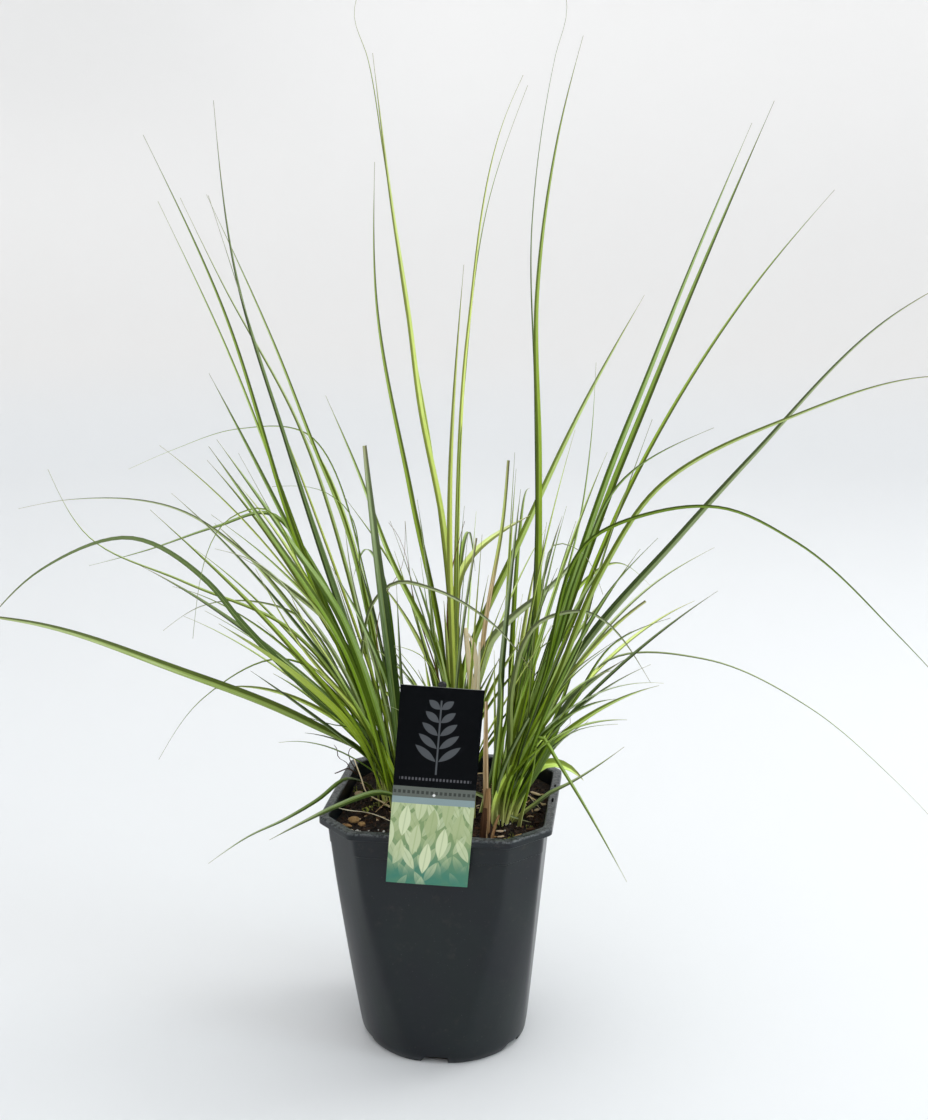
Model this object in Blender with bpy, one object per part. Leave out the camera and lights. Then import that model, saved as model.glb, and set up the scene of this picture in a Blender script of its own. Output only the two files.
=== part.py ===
"""A potted ornamental grass clump at its real size: an octagonal-rimmed nursery pot that is round at its
foot, the root ball in it, a hanging card label on its stake, and the leaves of three tufts.

Lengths are in millimetres up to the point where a mesh is made, and MM turns them into metres.
+Z is up, +Y is away from the label's side, and the origin is under the pot's axis, on the ground."""

import math
from collections import namedtuple

import bmesh
import bpy
import numpy as np
from mathutils import Vector

MM = 0.001
GAP = 0.3

# The pot.
POT_HEIGHT = 191.0
RIM_ACROSS_FLATS = 170.0
RIM_CORNER_CUT = 27.7
FLANGE_OVERHANG = 5.0
FLANGE_DEPTH = 5.6
LIP_BEVEL = 1.4
WALL = 1.5
FLOOR = 2.0
FOOT_RADIUS = 62.5
FOOT_ROUND = 8.0
CONE_RADIUS_AT_GROUND = 65.0
CONE_SLOPE = 0.184
FLAT_DRAFT = 0.085
CORNER_DRAFT = 0.12
STEP_BELOW_RIM = 21.0
STEP_SIZE = 0.5
WALL_STATIONS = (FOOT_ROUND, 30.0, 55.0, 80.0, 105.0, 130.0, 150.0)
POT_TURN = -8.0
NOTCHES = 6
NOTCH_WIDTH = 21.0
NOTCH_HEIGHT = 6.0
NOTCH_REACH = 11.0
NOTCH_SLANT = 4.0

# The root ball.
SOIL_BELOW_RIM = 12.0
SOIL_TOP = POT_HEIGHT - SOIL_BELOW_RIM
SOIL_LUMP = 1.2
SOIL_CLEARANCE = 1.3
ROOT_CLEARANCE = 1.0

# The label: a card that hangs in front of the rim, and the stake behind it.
CARD_WIDTH = 57.5
CARD_LENGTH = 146.0
CARD_THICKNESS = 0.6
CARD_FOOT = (-13.2, -88.0, 157.5)
CARD_LEAN = 4.6
CARD_BOW = 2.0
STAKE_WIDTH = 7.0
STAKE_THICKNESS = 2.4
STAKE_KNOB = 3.6
STAKE_HEAD = (-1.8, -86.1, 303.0)
STAKE_FOOT = (-9.0, -66.0, 110.0)
STAKE_POINT = 14.0
STAKE_SECTION = ((-1, -0.6), (-0.8, -1), (0.8, -1), (1, -0.6), (1, 0.6), (0.8, 1), (-0.8, 1), (-1, 0.6))

# Leaves: each midrib lies in its own upright plane. `root` is where it leaves the soil (x, y), `heading`
# is the direction that plane faces, in degrees from +X towards +Y, and `path` is the midrib in it as
# (out, up) points from the root. `turn` is how far the blade is rolled about its midrib, in degrees.
Leaf = namedtuple("Leaf", "name root heading path width turn finish cut")

FRESH = "leaf_fresh"
DARK = "leaf_dark"
PALE = "leaf_pale"
DEAD = "leaf_dead"


def leaf(name, root, heading, path, width, turn, finish=FRESH, cut=False):
    return Leaf(name, root, heading, ((0, 0),) + path, width, turn, finish, cut)


LEFT_TUFT = (
    leaf("left_leaf_01", (-39, 23), 176, ((26, 79), (54, 157), (82, 240), (115, 333), (165, 447)), 3.2, -60),
    leaf("left_leaf_02", (-37, 16), 200, ((18, 54), (76, 216), (124, 382), (170, 488)), 4.4, -88),
    leaf("left_leaf_03", (-37, 28), 160, ((16, 73), (37, 165), (76, 282), (137, 389), (169, 450)), 3.2, -70),
    leaf(
        "left_leaf_04", (-34, 11), 208,
        ((11, 51), (42, 141), (86, 283), (120, 405), (130, 509)), 4.2, -95, DARK,
    ),
    leaf("left_leaf_05", (-33, 30), 145, ((24, 106), (56, 213), (80, 259), (118, 337), (184, 452)), 3.8, -75),
    leaf(
        "left_leaf_06", (-40, 19), 186,
        ((17, 31), (63, 63), (160, 109), (258, 147), (327, 158)), 6.8, -66, DARK,
    ),
    leaf(
        "left_leaf_07", (-38, 9), 206,
        ((23, 50), (63, 93), (120, 160), (140, 188), (195, 226), (251, 211), (303, 162)), 5.8, -80, DARK,
    ),
    leaf(
        "left_leaf_08", (-38, 35), 164,
        ((17, 62), (45, 121), (100, 165), (175, 213), (269, 217), (317, 207)), 3.6, -60,
    ),
    leaf("left_leaf_09", (-40, 13), 190, ((25, 68), (77, 141), (150, 179), (217, 217), (240, 264)), 3.0, -70),
    leaf(
        "left_leaf_10", (-37, 42), 152,
        ((28, 78), (68, 160), (114, 207), (165, 192), (240, 164), (303, 144)), 3.8, -64,
    ),
    leaf(
        "left_leaf_11", (-35, 39), 140,
        ((29, 146), (95, 269), (175, 266), (257, 241), (320, 217)), 2.2, -60,
    ),
    leaf("left_leaf_12", (-36, 5), 212, ((20, 82), (48, 157), (89, 220), (137, 291)), 7.4, -96),
    leaf("left_leaf_13", (-39, -4), 236, ((51, 133), (135, 242), (186, 301)), 4.2, 50),
    leaf("left_leaf_14", (-38, 0), 200, ((20, 49), (82, 140), (173, 242)), 4.2, -80),
    leaf("left_leaf_15", (-34, -2), 222, ((29, 83), (87, 200), (121, 248), (139, 246), (175, 168)), 2.0, -90),
    leaf("left_leaf_16", (-46, 26), 172, ((19, 57), (74, 145), (141, 146), (173, 125)), 2.2, -60),
    leaf("left_leaf_17", (-43, 23), 184, ((22, 53), (44, 95), (76, 112), (139, 83), (175, 34)), 2.0, -64),
    leaf("left_leaf_18", (-45, 2), 222, ((26, 60), (79, 119), (143, 170)), 5.6, -90, PALE),
    leaf("left_leaf_19", (-25, -8), 210, ((23, 19), (60, 17), (92, 9), (116, 2)), 4.8, -45),
    leaf(
        "left_leaf_20", (-57, 41), 240,
        ((22, 14), (36, 20), (76, 17), (116, 17), (162, 20), (201, 17)), 3.2, -35,
    ),
    leaf("left_leaf_21", (-32, 3), 236, ((7, 67), (22, 160), (40, 281)), 9.4, 38, DARK, True),
    leaf("left_leaf_22", (-36, 57), 104, ((16, 84), (62, 150), (126, 160), (190, 118)), 4.2, 0),
    leaf("left_leaf_23", (-43, 51), 122, ((17, 92), (53, 178), (101, 236), (145, 262)), 4.0, -20),
)

MIDDLE_TUFT = (
    leaf(
        "middle_leaf_01", (5, 42), 140,
        ((3, 150), (20, 262), (43, 362), (66, 484), (80, 549), (93, 583), (83, 605)), 2.2, -60,
    ),
    leaf(
        "middle_leaf_02", (7, 30), 205,
        ((1, 107), (9, 211), (28, 307), (36, 368), (49, 451), (61, 545)), 5.0, -95,
    ),
    leaf("middle_leaf_03", (1, 36), 170, ((3, 112), (26, 232), (52, 384), (52, 475)), 4.4, -70),
    leaf("middle_leaf_04", (11, 37), 35, ((-3, 193), (7, 356), (42, 511), (56, 536)), 3.9, 60, PALE),
    leaf("middle_leaf_05", (12, 17), 350, ((-8, 249), (2, 404)), 4.8, 90, PALE),
    leaf("middle_leaf_06", (18, 26), 195, ((22, 106), (61, 193), (85, 261), (106, 312)), 5.2, -82),
    leaf("middle_leaf_07", (13, 49), 25, ((-2, 73), (6, 181), (59, 211)), 6.4, 60, PALE),
    leaf("middle_leaf_08", (20, 34), 345, ((11, 132), (25, 220), (28, 260)), 4.0, 92, PALE, True),
    leaf("middle_leaf_09", (4, 11), 330, ((6, 100), (22, 207)), 2.6, -60, DARK, True),
    leaf("middle_leaf_10", (1, 48), 38, ((21, 98), (71, 180), (148, 298), (206, 373)), 5.6, 60),
    leaf("middle_leaf_11", (22, 22), 320, ((-1, 67), (-8, 132)), 6.0, -50, DEAD, True),
    leaf("middle_leaf_12", (6, 56), 84, ((18, 96), (70, 164), (142, 170), (206, 120)), 4.4, 0),
)

RIGHT_TUFT = (
    leaf(
        "right_leaf_01", (52, 21), 40,
        ((15, 88), (21, 189), (18, 309), (13, 431), (34, 546), (45, 580), (40, 600)), 2.2, 60, DARK,
    ),
    leaf("right_leaf_02", (56, 11), 55, ((23, 142), (23, 263), (17, 379), (42, 488), (77, 563)), 5.0, 50),
    leaf(
        "right_leaf_03", (38, -9), 35,
        ((27, 67), (70, 169), (109, 257), (139, 315), (182, 400), (241, 508)), 5.2, 60,
    ),
    leaf(
        "right_leaf_04", (40, -13), 350,
        ((20, 63), (44, 142), (79, 252), (100, 309), (129, 387), (178, 511)), 5.6, 70,
    ),
    leaf("right_leaf_05", (42, 0), 25, ((49, 114), (114, 250), (201, 371), (286, 457)), 3.8, 60),
    leaf(
        "right_leaf_06", (47, -13), 8,
        ((49, 118), (126, 209), (177, 265), (281, 368), (335, 398)), 5.8, 55, DARK,
    ),
    leaf(
        "right_leaf_07", (44, -16), 336,
        ((37, 101), (74, 198), (108, 254), (195, 309), (295, 341), (314, 340)), 4.6, 80,
    ),
    leaf(
        "right_leaf_08", (43, -29), 338,
        ((30, 114), (67, 222), (99, 238), (154, 247), (202, 228), (272, 170), (323, 119)), 3.6, 72,
    ),
    leaf(
        "right_leaf_09", (51, -6), 358,
        ((33, 66), (70, 117), (140, 118), (219, 81), (284, 26), (343, -36)), 2.2, 66,
    ),
    leaf("right_leaf_10", (45, -34), 318, ((51, 127), (86, 190), (124, 233)), 3.2, 100),
    leaf("right_leaf_11", (51, -2), 35, ((64, 102), (130, 148), (205, 173)), 3.0, 45),
    leaf("right_leaf_12", (46, -21), 335, ((51, 98), (81, 146), (120, 168)), 2.4, 84),
    leaf("right_leaf_13", (41, -24), 352, ((16, 61), (36, 122), (56, 195), (81, 254), (145, 295)), 3.2, 76),
    leaf("right_leaf_14", (47, 30), 50, ((29, 43), (69, 140), (96, 205), (107, 261), (111, 325)), 2.2, 50),
    leaf("right_leaf_15", (54, -35), 310, ((15, 48), (22, 76), (40, 61), (71, 33), (109, -5)), 3.0, 45, PALE),
    leaf("right_leaf_16", (49, -28), 20, ((23, 13), (29, 17), (44, 22), (92, 46)), 2.6, 48, DARK),
    leaf("right_leaf_17", (50, -23), 18, ((4, 10), (12, 32), (26, 41), (44, 35), (57, 23)), 7.6, 60, PALE),
    leaf("right_leaf_18", (50, 46), 82, ((16, 92), (60, 168), (118, 206), (176, 204)), 4.2, 0),
    leaf("right_leaf_19", (60, 35), 52, ((23, 78), (67, 142), (129, 158), (187, 128)), 4.0, 36),
    leaf("right_leaf_20", (30, -46), 286, ((2, 14), (4, 34)), 6.6, 0, DEAD, True),
)

SHEATH_HEIGHT = 60.0
SHEATH_HALF_WIDTH = 2.1
SHEATH_HALF_DEPTH = 1.3
BLADE_HALF_DEPTH = 0.35
KEEL = 0.16
WIDEST = 0.3
FOOT_WIDTH = 0.75
TAPER = 1.8
TIP_WIDTH = 0.35
CUT_WIDTH = 0.55
STATION_SPACING = 62.0
STATION_BEND = 13.0
FEWEST_STATIONS = 5

FINISHES = {
    "pot_plastic": ((0.027, 0.033, 0.038), 0.42),
    "soil": ((0.035, 0.022, 0.014), 0.95),
    "label_card": ((0.50, 0.55, 0.42), 0.35),
    "stake_plastic": ((0.02, 0.02, 0.022), 0.5),
    FRESH: ((0.10, 0.22, 0.035), 0.5),
    DARK: ((0.035, 0.10, 0.03), 0.45),
    PALE: ((0.24, 0.34, 0.06), 0.5),
    DEAD: ((0.42, 0.30, 0.16), 0.8),
}


def clear_scene():
    for old in list(bpy.data.objects):
        bpy.data.objects.remove(old, do_unlink=True)


def finish_material(slot):
    found = bpy.data.materials.get(slot)
    if found:
        return found
    colour, roughness = FINISHES[slot]
    made = bpy.data.materials.new(slot)
    made.use_nodes = True
    shader = made.node_tree.nodes["Principled BSDF"]
    shader.inputs["Base Color"].default_value = (*colour, 1.0)
    shader.inputs["Roughness"].default_value = roughness
    shader.inputs["Metallic"].default_value = 0.0
    return made


def add_object(name, points, faces, slot, smooth=None):
    """A mesh object from points in millimetres. Edges flatter than `smooth` degrees are shaded rounded."""
    mesh = bpy.data.meshes.new(name)
    mesh.from_pydata([Vector(p) * MM for p in points], [], faces)
    shape = bmesh.new()
    shape.from_mesh(mesh)
    bmesh.ops.recalc_face_normals(shape, faces=shape.faces)
    shape.to_mesh(mesh)
    shape.free()
    if smooth:
        mesh.shade_smooth()
        mesh.set_sharp_from_angle(angle=math.radians(smooth))
    made = bpy.data.objects.new(name, mesh)
    bpy.context.scene.collection.objects.link(made)
    made.data.materials.append(finish_material(slot))
    return made


def loft(rings):
    """Points and faces of a closed body through rings of equal length, with a face on each end."""
    count = len(rings[0])
    points = [p for ring in rings for p in ring]
    faces = []
    for row in range(len(rings) - 1):
        low, high = row * count, (row + 1) * count
        faces += [(low + i, low + (i + 1) % count, high + (i + 1) % count, high + i) for i in range(count)]
    faces.append(tuple(reversed(range(count))))
    faces.append(tuple(range(len(points) - count, len(points))))
    return points, faces


# The pot's outline: eight upright planes with a little draft, cut by a cone that is round at the foot.


def corner_reach(half_across):
    """How far a cut corner's plane is from the axis, for flats that are half_across from it."""
    return (2 * half_across - RIM_CORNER_CUT) / math.sqrt(2)


def ring_angles():
    """Directions in which the outline has a point: eight along each flat, and two along each cut corner."""
    half = RIM_ACROSS_FLATS / 2
    edge = math.degrees(math.atan((half - RIM_CORNER_CUT) / half)) + 2.6
    quarter = [edge * step / 4 for step in range(-4, 5)] + [45.0]
    return [math.radians(POT_TURN + 90 * side + angle) for side in range(4) for angle in quarter]


def octagon_radius(angle, flat, corner):
    turned = angle - math.radians(POT_TURN)
    reach = []
    for side in range(8):
        off = math.cos(turned - side * math.pi / 4)
        if off > 0.5:
            reach.append((corner if side % 2 else flat) / off)
    return min(reach)


def wall_radius(angle, height):
    """The wall's outer radius below the flange."""
    below = POT_HEIGHT - height
    flat = RIM_ACROSS_FLATS / 2 - FLANGE_OVERHANG
    corner = corner_reach(RIM_ACROSS_FLATS / 2) - FLANGE_OVERHANG
    step = STEP_SIZE if below > STEP_BELOW_RIM else 0.0
    cone = CONE_RADIUS_AT_GROUND + CONE_SLOPE * height
    radius = min(octagon_radius(angle, flat - FLAT_DRAFT * below, corner - CORNER_DRAFT * below), cone)
    foot = max(0.0, 1 - height / FOOT_ROUND)
    return radius - step - (CONE_RADIUS_AT_GROUND - FOOT_RADIUS) * foot**2


def flange_radius(angle, inset=0.0):
    half = RIM_ACROSS_FLATS / 2
    return octagon_radius(angle, half - inset, corner_reach(half) - inset)


def ring_at(radius_of, height):
    return [(radius_of(a) * math.cos(a), radius_of(a) * math.sin(a), height) for a in ring_angles()]


def wall_ring(height, inset=0.0):
    return ring_at(lambda a: wall_radius(a, height) - inset, height)


def build_pot():
    step = POT_HEIGHT - STEP_BELOW_RIM
    outer = [wall_ring(z) for z in (0.0, 1.2, 3.6) + WALL_STATIONS + (step - 0.4, step + 0.1)]
    under = POT_HEIGHT - FLANGE_DEPTH
    outer.append(wall_ring(under - 1.0))
    outer.append(ring_at(flange_radius, under))
    outer.append(ring_at(flange_radius, POT_HEIGHT - LIP_BEVEL))
    outer.append(ring_at(lambda a: flange_radius(a, LIP_BEVEL), POT_HEIGHT))
    inner = [ring_at(lambda a: wall_radius(a, under) - WALL, POT_HEIGHT)]
    inner += [wall_ring(z, WALL) for z in (under, step - 1.0) + WALL_STATIONS[::-1] + (FLOOR,)]
    points, faces = loft(outer + inner)
    pot = add_object("pot", points, faces, "pot_plastic", smooth=28)
    for index in range(NOTCHES):
        cutter = build_notch_cutter(index)
        cut = pot.modifiers.new(cutter.name, "BOOLEAN")
        cut.operation = "DIFFERENCE"
        cut.solver = "EXACT"
        cut.object = cutter
    return pot


def build_notch_cutter(index):
    """A drain notch through the foot: upright on one side and slanted on the other."""
    middle = math.radians(POT_TURN - 90 + index * 360 / NOTCHES)
    half = NOTCH_WIDTH / 2
    low, top = -NOTCH_HEIGHT / 2, NOTCH_HEIGHT
    outline = ((-half, low), (half, low), (half, top), (NOTCH_SLANT - half, top), (-half, 0))
    rings = []
    for reach in (FOOT_RADIUS - NOTCH_REACH, FOOT_RADIUS + NOTCH_REACH):
        ring = []
        for along, up in outline:
            x = reach * math.cos(middle) - along * math.sin(middle)
            y = reach * math.sin(middle) + along * math.cos(middle)
            ring.append((x, y, up))
        rings.append(ring)
    points, faces = loft(rings)
    cutter = add_object(f"notch_cutter_{index + 1}", points, faces, "pot_plastic")
    cutter.hide_render = True
    cutter.display_type = "WIRE"
    return cutter


def soil_height(x, y):
    """The root ball's lumpy top, in millimetres above the ground."""
    wide = math.sin(x / 9.0 + 1.3) * math.cos(y / 11.0)
    slanted = 0.6 * math.sin((x + y) / 6.5)
    fine = 0.4 * math.cos(x / 4.0)
    return SOIL_TOP + SOIL_LUMP * (wide + slanted + fine - 0.5)


def build_soil():
    """The root ball fills the pot with a thin gap, and its top is crumbly."""
    inset = WALL + SOIL_CLEARANCE
    sides = [wall_ring(z, inset) for z in (FLOOR + GAP,) + WALL_STATIONS + (SOIL_TOP - 10.0,)]
    top = []
    for share in (1.0, 0.86, 0.7, 0.54, 0.38, 0.22, 0.08):
        ring = []
        for x, y, _ in wall_ring(SOIL_TOP - 10.0, inset + 0.2):
            ring.append((x * share, y * share, soil_height(x * share, y * share)))
        top.append(ring)
    points, faces = loft(sides + top)
    soil = add_object("soil", points, faces, "soil", smooth=60)
    pocket = build_stake("stake_pocket", GAP)
    pocket.hide_render = True
    pocket.display_type = "WIRE"
    cut = soil.modifiers.new("stake_pocket", "BOOLEAN")
    cut.operation = "DIFFERENCE"
    cut.solver = "EXACT"
    cut.object = pocket
    return soil


def build_stake(name, grow=0.0):
    """A flat stake with a pointed foot and a small rounded knob; `grow` makes it thicker all round."""
    head, foot = Vector(STAKE_HEAD), Vector(STAKE_FOOT)
    up = (head - foot).normalized()
    across = Vector((up.z, 0, -up.x)).normalized()
    out = across.cross(up)
    length = (head - foot).length
    half_width = STAKE_WIDTH / 2 + grow
    half_depth = STAKE_THICKNESS / 2 + grow
    profile = [(-grow, 0.25), (STAKE_POINT, 1.0), (length - 8.0, 1.0), (length - 2.0, 0.8)]
    profile += [(length, 1.25), (length + STAKE_KNOB * 0.6, 1.3), (length + STAKE_KNOB, 0.7)]
    rings = []
    for along, share in profile:
        centre = foot + up * along
        ring = []
        for a, b in STAKE_SECTION:
            ring.append(tuple(centre + across * (a * half_width * share) + out * (b * half_depth)))
        rings.append(ring)
    points, faces = loft(rings)
    return add_object(name, points, faces, "stake_plastic", smooth=35)


def build_card():
    """A thin card with a slight bow along its length, leaning a little to one side."""
    lean = math.radians(CARD_LEAN)
    up = Vector((math.sin(lean), 0, math.cos(lean)))
    across = Vector((math.cos(lean), 0, -math.sin(lean)))
    rings = []
    for step in range(11):
        share = step / 10
        centre = Vector(CARD_FOOT) + up * (CARD_LENGTH * share)
        bow = CARD_BOW * (1 - (2 * share - 1) ** 2)
        ring = []
        for a, b in ((-1, -1), (1, -1), (1, 1), (-1, 1)):
            depth = bow + b * CARD_THICKNESS / 2
            ring.append(tuple(centre + across * (a * CARD_WIDTH / 2) + Vector((0, -depth, 0))))
        rings.append(ring)
    points, faces = loft(rings)
    return add_object("label_card", points, faces, "label_card")


# Leaves.


def smooth_path(path, count):
    """Evenly spaced points on a smooth curve through the path's own points."""
    knots = np.array(path, float)
    spans = np.linalg.norm(np.diff(knots, axis=0), axis=1)
    stops = np.concatenate([[0], np.cumsum(spans)])
    slopes = np.diff(knots, axis=0) / spans[:, None]
    tangents = np.empty_like(knots)
    before, after = spans[:-1, None], spans[1:, None]
    tangents[1:-1] = (slopes[:-1] * after + slopes[1:] * before) / (before + after)
    tangents[0] = 1.5 * slopes[0] - 0.5 * tangents[1]
    tangents[-1] = 1.5 * slopes[-1] - 0.5 * tangents[-2]
    points = []
    for at in np.linspace(0, stops[-1], count):
        i = min(int(np.searchsorted(stops, at, side="right")) - 1, len(spans) - 1)
        span = spans[i]
        t = (at - stops[i]) / span
        start = (1 + 2 * t) * (1 - t) ** 2 * knots[i] + t * (1 - t) ** 2 * span * tangents[i]
        end = t**2 * (3 - 2 * t) * knots[i + 1] - t**2 * (1 - t) * span * tangents[i + 1]
        points.append(start + end)
    return np.array(points)


def blade_width(blade, share):
    """Half the blade's width: it is widest near a third of its length and ends in a fine tip or a cut."""
    if share < WIDEST:
        return blade.width / 2 * (FOOT_WIDTH + (1 - FOOT_WIDTH) * share / WIDEST)
    past = ((share - WIDEST) / (1 - WIDEST)) ** TAPER
    if blade.cut:
        return blade.width / 2 * (1 - (1 - CUT_WIDTH) * past)
    return max(blade.width / 2 * (1 - past), TIP_WIDTH / 2)


def station_count(length, path):
    """More stations on a leaf that is long or arched than on a short straight one."""
    steps = np.diff(smooth_path(path, 40), axis=0)
    bend = np.degrees(np.abs(np.diff(np.unwrap(np.arctan2(steps[:, 1], steps[:, 0]))))).sum()
    return max(FEWEST_STATIONS, round(length / STATION_SPACING + bend / STATION_BEND) + 2)


def blade_faces(stations):
    """Faces of a blade through rings of left edge, underside, right edge and upper side.

    Each quarter is split from its edge up to the next ring's midrib, so that the upper and lower skins bend
    together where the blade is twisted and never cross."""
    left, under, right, upper = range(4)
    faces = [(upper, right, under, left)]
    for station in range(stations - 1):
        low, high = station * 4, station * 4 + 4
        for edge, rib in ((left, under), (right, upper)):
            faces += [(low + edge, low + rib, high + rib), (low + edge, high + rib, high + edge)]
        for rib, edge in ((under, right), (upper, left)):
            faces += [(low + rib, low + edge, high + rib), (low + edge, high + edge, high + rib)]
    last = (stations - 1) * 4
    faces.append((last + left, last + under, last + right, last + upper))
    return faces


def build_leaf(blade):
    """A keeled blade that grows out of a rounded sheath at its foot."""
    length = float(np.linalg.norm(np.diff(np.array(blade.path, float), axis=0), axis=1).sum())
    count = station_count(length, blade.path)
    path = smooth_path(blade.path, count)
    heading = math.radians(blade.heading)
    out = Vector((math.cos(heading), math.sin(heading), 0))
    side = Vector((-math.sin(heading), math.cos(heading), 0))
    foot = Vector((*blade.root, soil_height(*blade.root) + ROOT_CLEARANCE))
    tangents = np.gradient(path, axis=0)
    rings = []
    for index, (reach, rise) in enumerate(path):
        share = index / (count - 1)
        tangent = (out * tangents[index][0] + Vector((0, 0, tangents[index][1]))).normalized()
        if index == 0:
            tangent = Vector((0, 0, 1))
        upper = tangent.cross(side)
        roll = math.radians(blade.turn) * min(1.0, share / WIDEST)
        across = side * math.cos(roll) + upper * math.sin(roll)
        face = tangent.cross(across)
        sheath = max(0.0, 1 - share * length / min(SHEATH_HEIGHT, 0.6 * length))
        half_width = max(blade_width(blade, share) * (1 - sheath), SHEATH_HALF_WIDTH * sheath)
        half_depth = BLADE_HALF_DEPTH + (SHEATH_HALF_DEPTH - BLADE_HALF_DEPTH) * sheath
        if share == 1 and not blade.cut:
            half_depth = TIP_WIDTH / 2
        keel = KEEL * 2 * half_width * (1 - sheath)
        centre = foot + out * reach + Vector((0, 0, rise))
        ring = [
            centre - across * half_width + face * keel,
            centre - face * half_depth,
            centre + across * half_width + face * keel,
            centre + face * half_depth,
        ]
        rings.append([tuple(p) for p in ring])
    points = [p for ring in rings for p in ring]
    return add_object(blade.name, points, blade_faces(count), blade.finish, smooth=50)


def main():
    clear_scene()
    build_pot()
    build_soil()
    build_stake("label_stake")
    build_card()
    for blade in LEFT_TUFT + MIDDLE_TUFT + RIGHT_TUFT:
        build_leaf(blade)


main()
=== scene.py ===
"""A potted ornamental grass clump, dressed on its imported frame.

The frame holds the pot, the root ball, the label with its stake and the main leaves. Each operator makes one
piece, or one group of like pieces, in their place. Lengths are in millimetres until a mesh is made, and MM
turns them into metres. The stage's own lengths are in metres. +Z is up and the label faces -Y."""

import math
import random
from collections import namedtuple

import bmesh
import bpy
import numpy as np
from bpy.props import FloatProperty, FloatVectorProperty, PointerProperty
from mathutils import Matrix, Vector, noise


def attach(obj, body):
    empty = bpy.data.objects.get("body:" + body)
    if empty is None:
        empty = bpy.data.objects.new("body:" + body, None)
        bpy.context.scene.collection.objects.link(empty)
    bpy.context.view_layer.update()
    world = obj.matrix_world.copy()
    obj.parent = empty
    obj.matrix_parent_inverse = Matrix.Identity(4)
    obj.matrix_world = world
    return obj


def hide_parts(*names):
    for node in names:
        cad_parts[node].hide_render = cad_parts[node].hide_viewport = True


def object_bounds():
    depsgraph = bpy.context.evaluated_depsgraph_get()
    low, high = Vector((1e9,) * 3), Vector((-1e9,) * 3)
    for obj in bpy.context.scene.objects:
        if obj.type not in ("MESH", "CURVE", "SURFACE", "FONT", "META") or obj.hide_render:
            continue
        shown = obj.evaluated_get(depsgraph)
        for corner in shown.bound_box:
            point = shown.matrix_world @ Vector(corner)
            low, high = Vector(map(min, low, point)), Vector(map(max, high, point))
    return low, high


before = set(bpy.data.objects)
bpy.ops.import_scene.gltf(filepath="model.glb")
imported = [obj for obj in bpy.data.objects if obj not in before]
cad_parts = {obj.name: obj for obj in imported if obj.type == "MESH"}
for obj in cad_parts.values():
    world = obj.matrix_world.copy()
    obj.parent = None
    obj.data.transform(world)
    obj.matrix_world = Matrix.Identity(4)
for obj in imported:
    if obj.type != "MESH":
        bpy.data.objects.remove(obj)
CAD_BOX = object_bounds()

bl_info = {
    "name": "Potted Grass Clump",
    "version": (1, 0, 0),
    "blender": (4, 5, 0),
    "location": "3D View > Sidebar > Potted Grass",
    "description": "Builds a potted ornamental grass clump with its pot, root ball, label and leaves",
    "category": "Add Mesh",
}

MM = 0.001

# The pot. It is an octagon at its rim and round at its foot.
POT_HEIGHT = 191.0
RIM_ACROSS_FLATS = 170.0
RIM_CORNER_CUT = 27.7
FLANGE_OVERHANG = 5.0
FLANGE_DEPTH = 5.6
LIP_ROUND = 1.5
WALL = 1.5
FLOOR = 2.0
FOOT_RADIUS = 62.5
FOOT_ROUND = 8.0
CONE_RADIUS_AT_GROUND = 65.0
CONE_SLOPE = 0.184
FLAT_DRAFT = 0.085
CORNER_DRAFT = 0.12
STEP_BELOW_RIM = 21.0
STEP_SIZE = 0.5
CREASE_ROUND = 0.9
POT_TURN = -8.0
NOTCHES = 6
NOTCH_WIDTH = 21.0
NOTCH_HEIGHT = 6.0
NOTCH_REACH = 11.0
NOTCH_SLANT = 4.0
# Slots through the flange of the right-hand flat: where along it each one is, and its length.
FLANGE_SLOTS = ((23.4, 5.0), (11.1, 3.6), (-5.1, 8.0))
SLOT_WIDTH = 1.7
SLOT_INSET = 3.3
POT_POINTS_ROUND = 360
# Where the rings of points lie: shares of the foot's radius on the underside, heights at the foot, and
# heights above the step line.
UNDERSIDE_SHARES = (0.02, 0.5, 0.93, 0.985)
FOOT_STATIONS = (0.25, 0.8, 1.6, 2.8, 4.5, 6.2, 8.0)
STEP_STATIONS = (-1.0, -0.35, 0.05, 0.6, 3.0, 8.0)
WALL_STATIONS = 34
SLOT_SIDES = 16

# The root ball.
SOIL_BELOW_RIM = 12.0
SOIL_TOP = POT_HEIGHT - SOIL_BELOW_RIM
SOIL_LUMP = 1.2
SOIL_CLEARANCE = 1.3
SOIL_GRAIN = 2.2
SOIL_POINTS_ROUND = 240
SOIL_RINGS = 84
SOIL_STATIONS = (FOOT_ROUND, 30.0, 55.0, 80.0, 105.0, 130.0, 150.0, 166.0)
ROOT_CLEARANCE = 1.0

# The label and its stake.
CARD_WIDTH = 57.5
CARD_LENGTH = 146.0
CARD_THICKNESS = 0.6
CARD_FOOT = (-13.2, -88.0, 157.5)
CARD_LEAN = 4.6
CARD_BOW = 2.0
CARD_CURL = 0.35
CARD_ROWS = 40
CARD_COLUMNS = 12
# Heights on the card where the picture, the plain strip and the grey band end.
PICTURE_HEIGHT = 61.0
STRIP_HEIGHT = 65.9
BAND_HEIGHT = 73.6
STAKE_WIDTH = 7.0
STAKE_THICKNESS = 2.4
STAKE_KNOB = 3.6
STAKE_HEAD = (-1.8, -86.1, 303.0)
STAKE_FOOT = (-9.0, -66.0, 110.0)
STAKE_POINT = 14.0
STAKE_SIDES = 24
# Under 1 the stake's section is a rounded box, and 1 would make it an ellipse.
STAKE_SQUARENESS = 0.45

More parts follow.
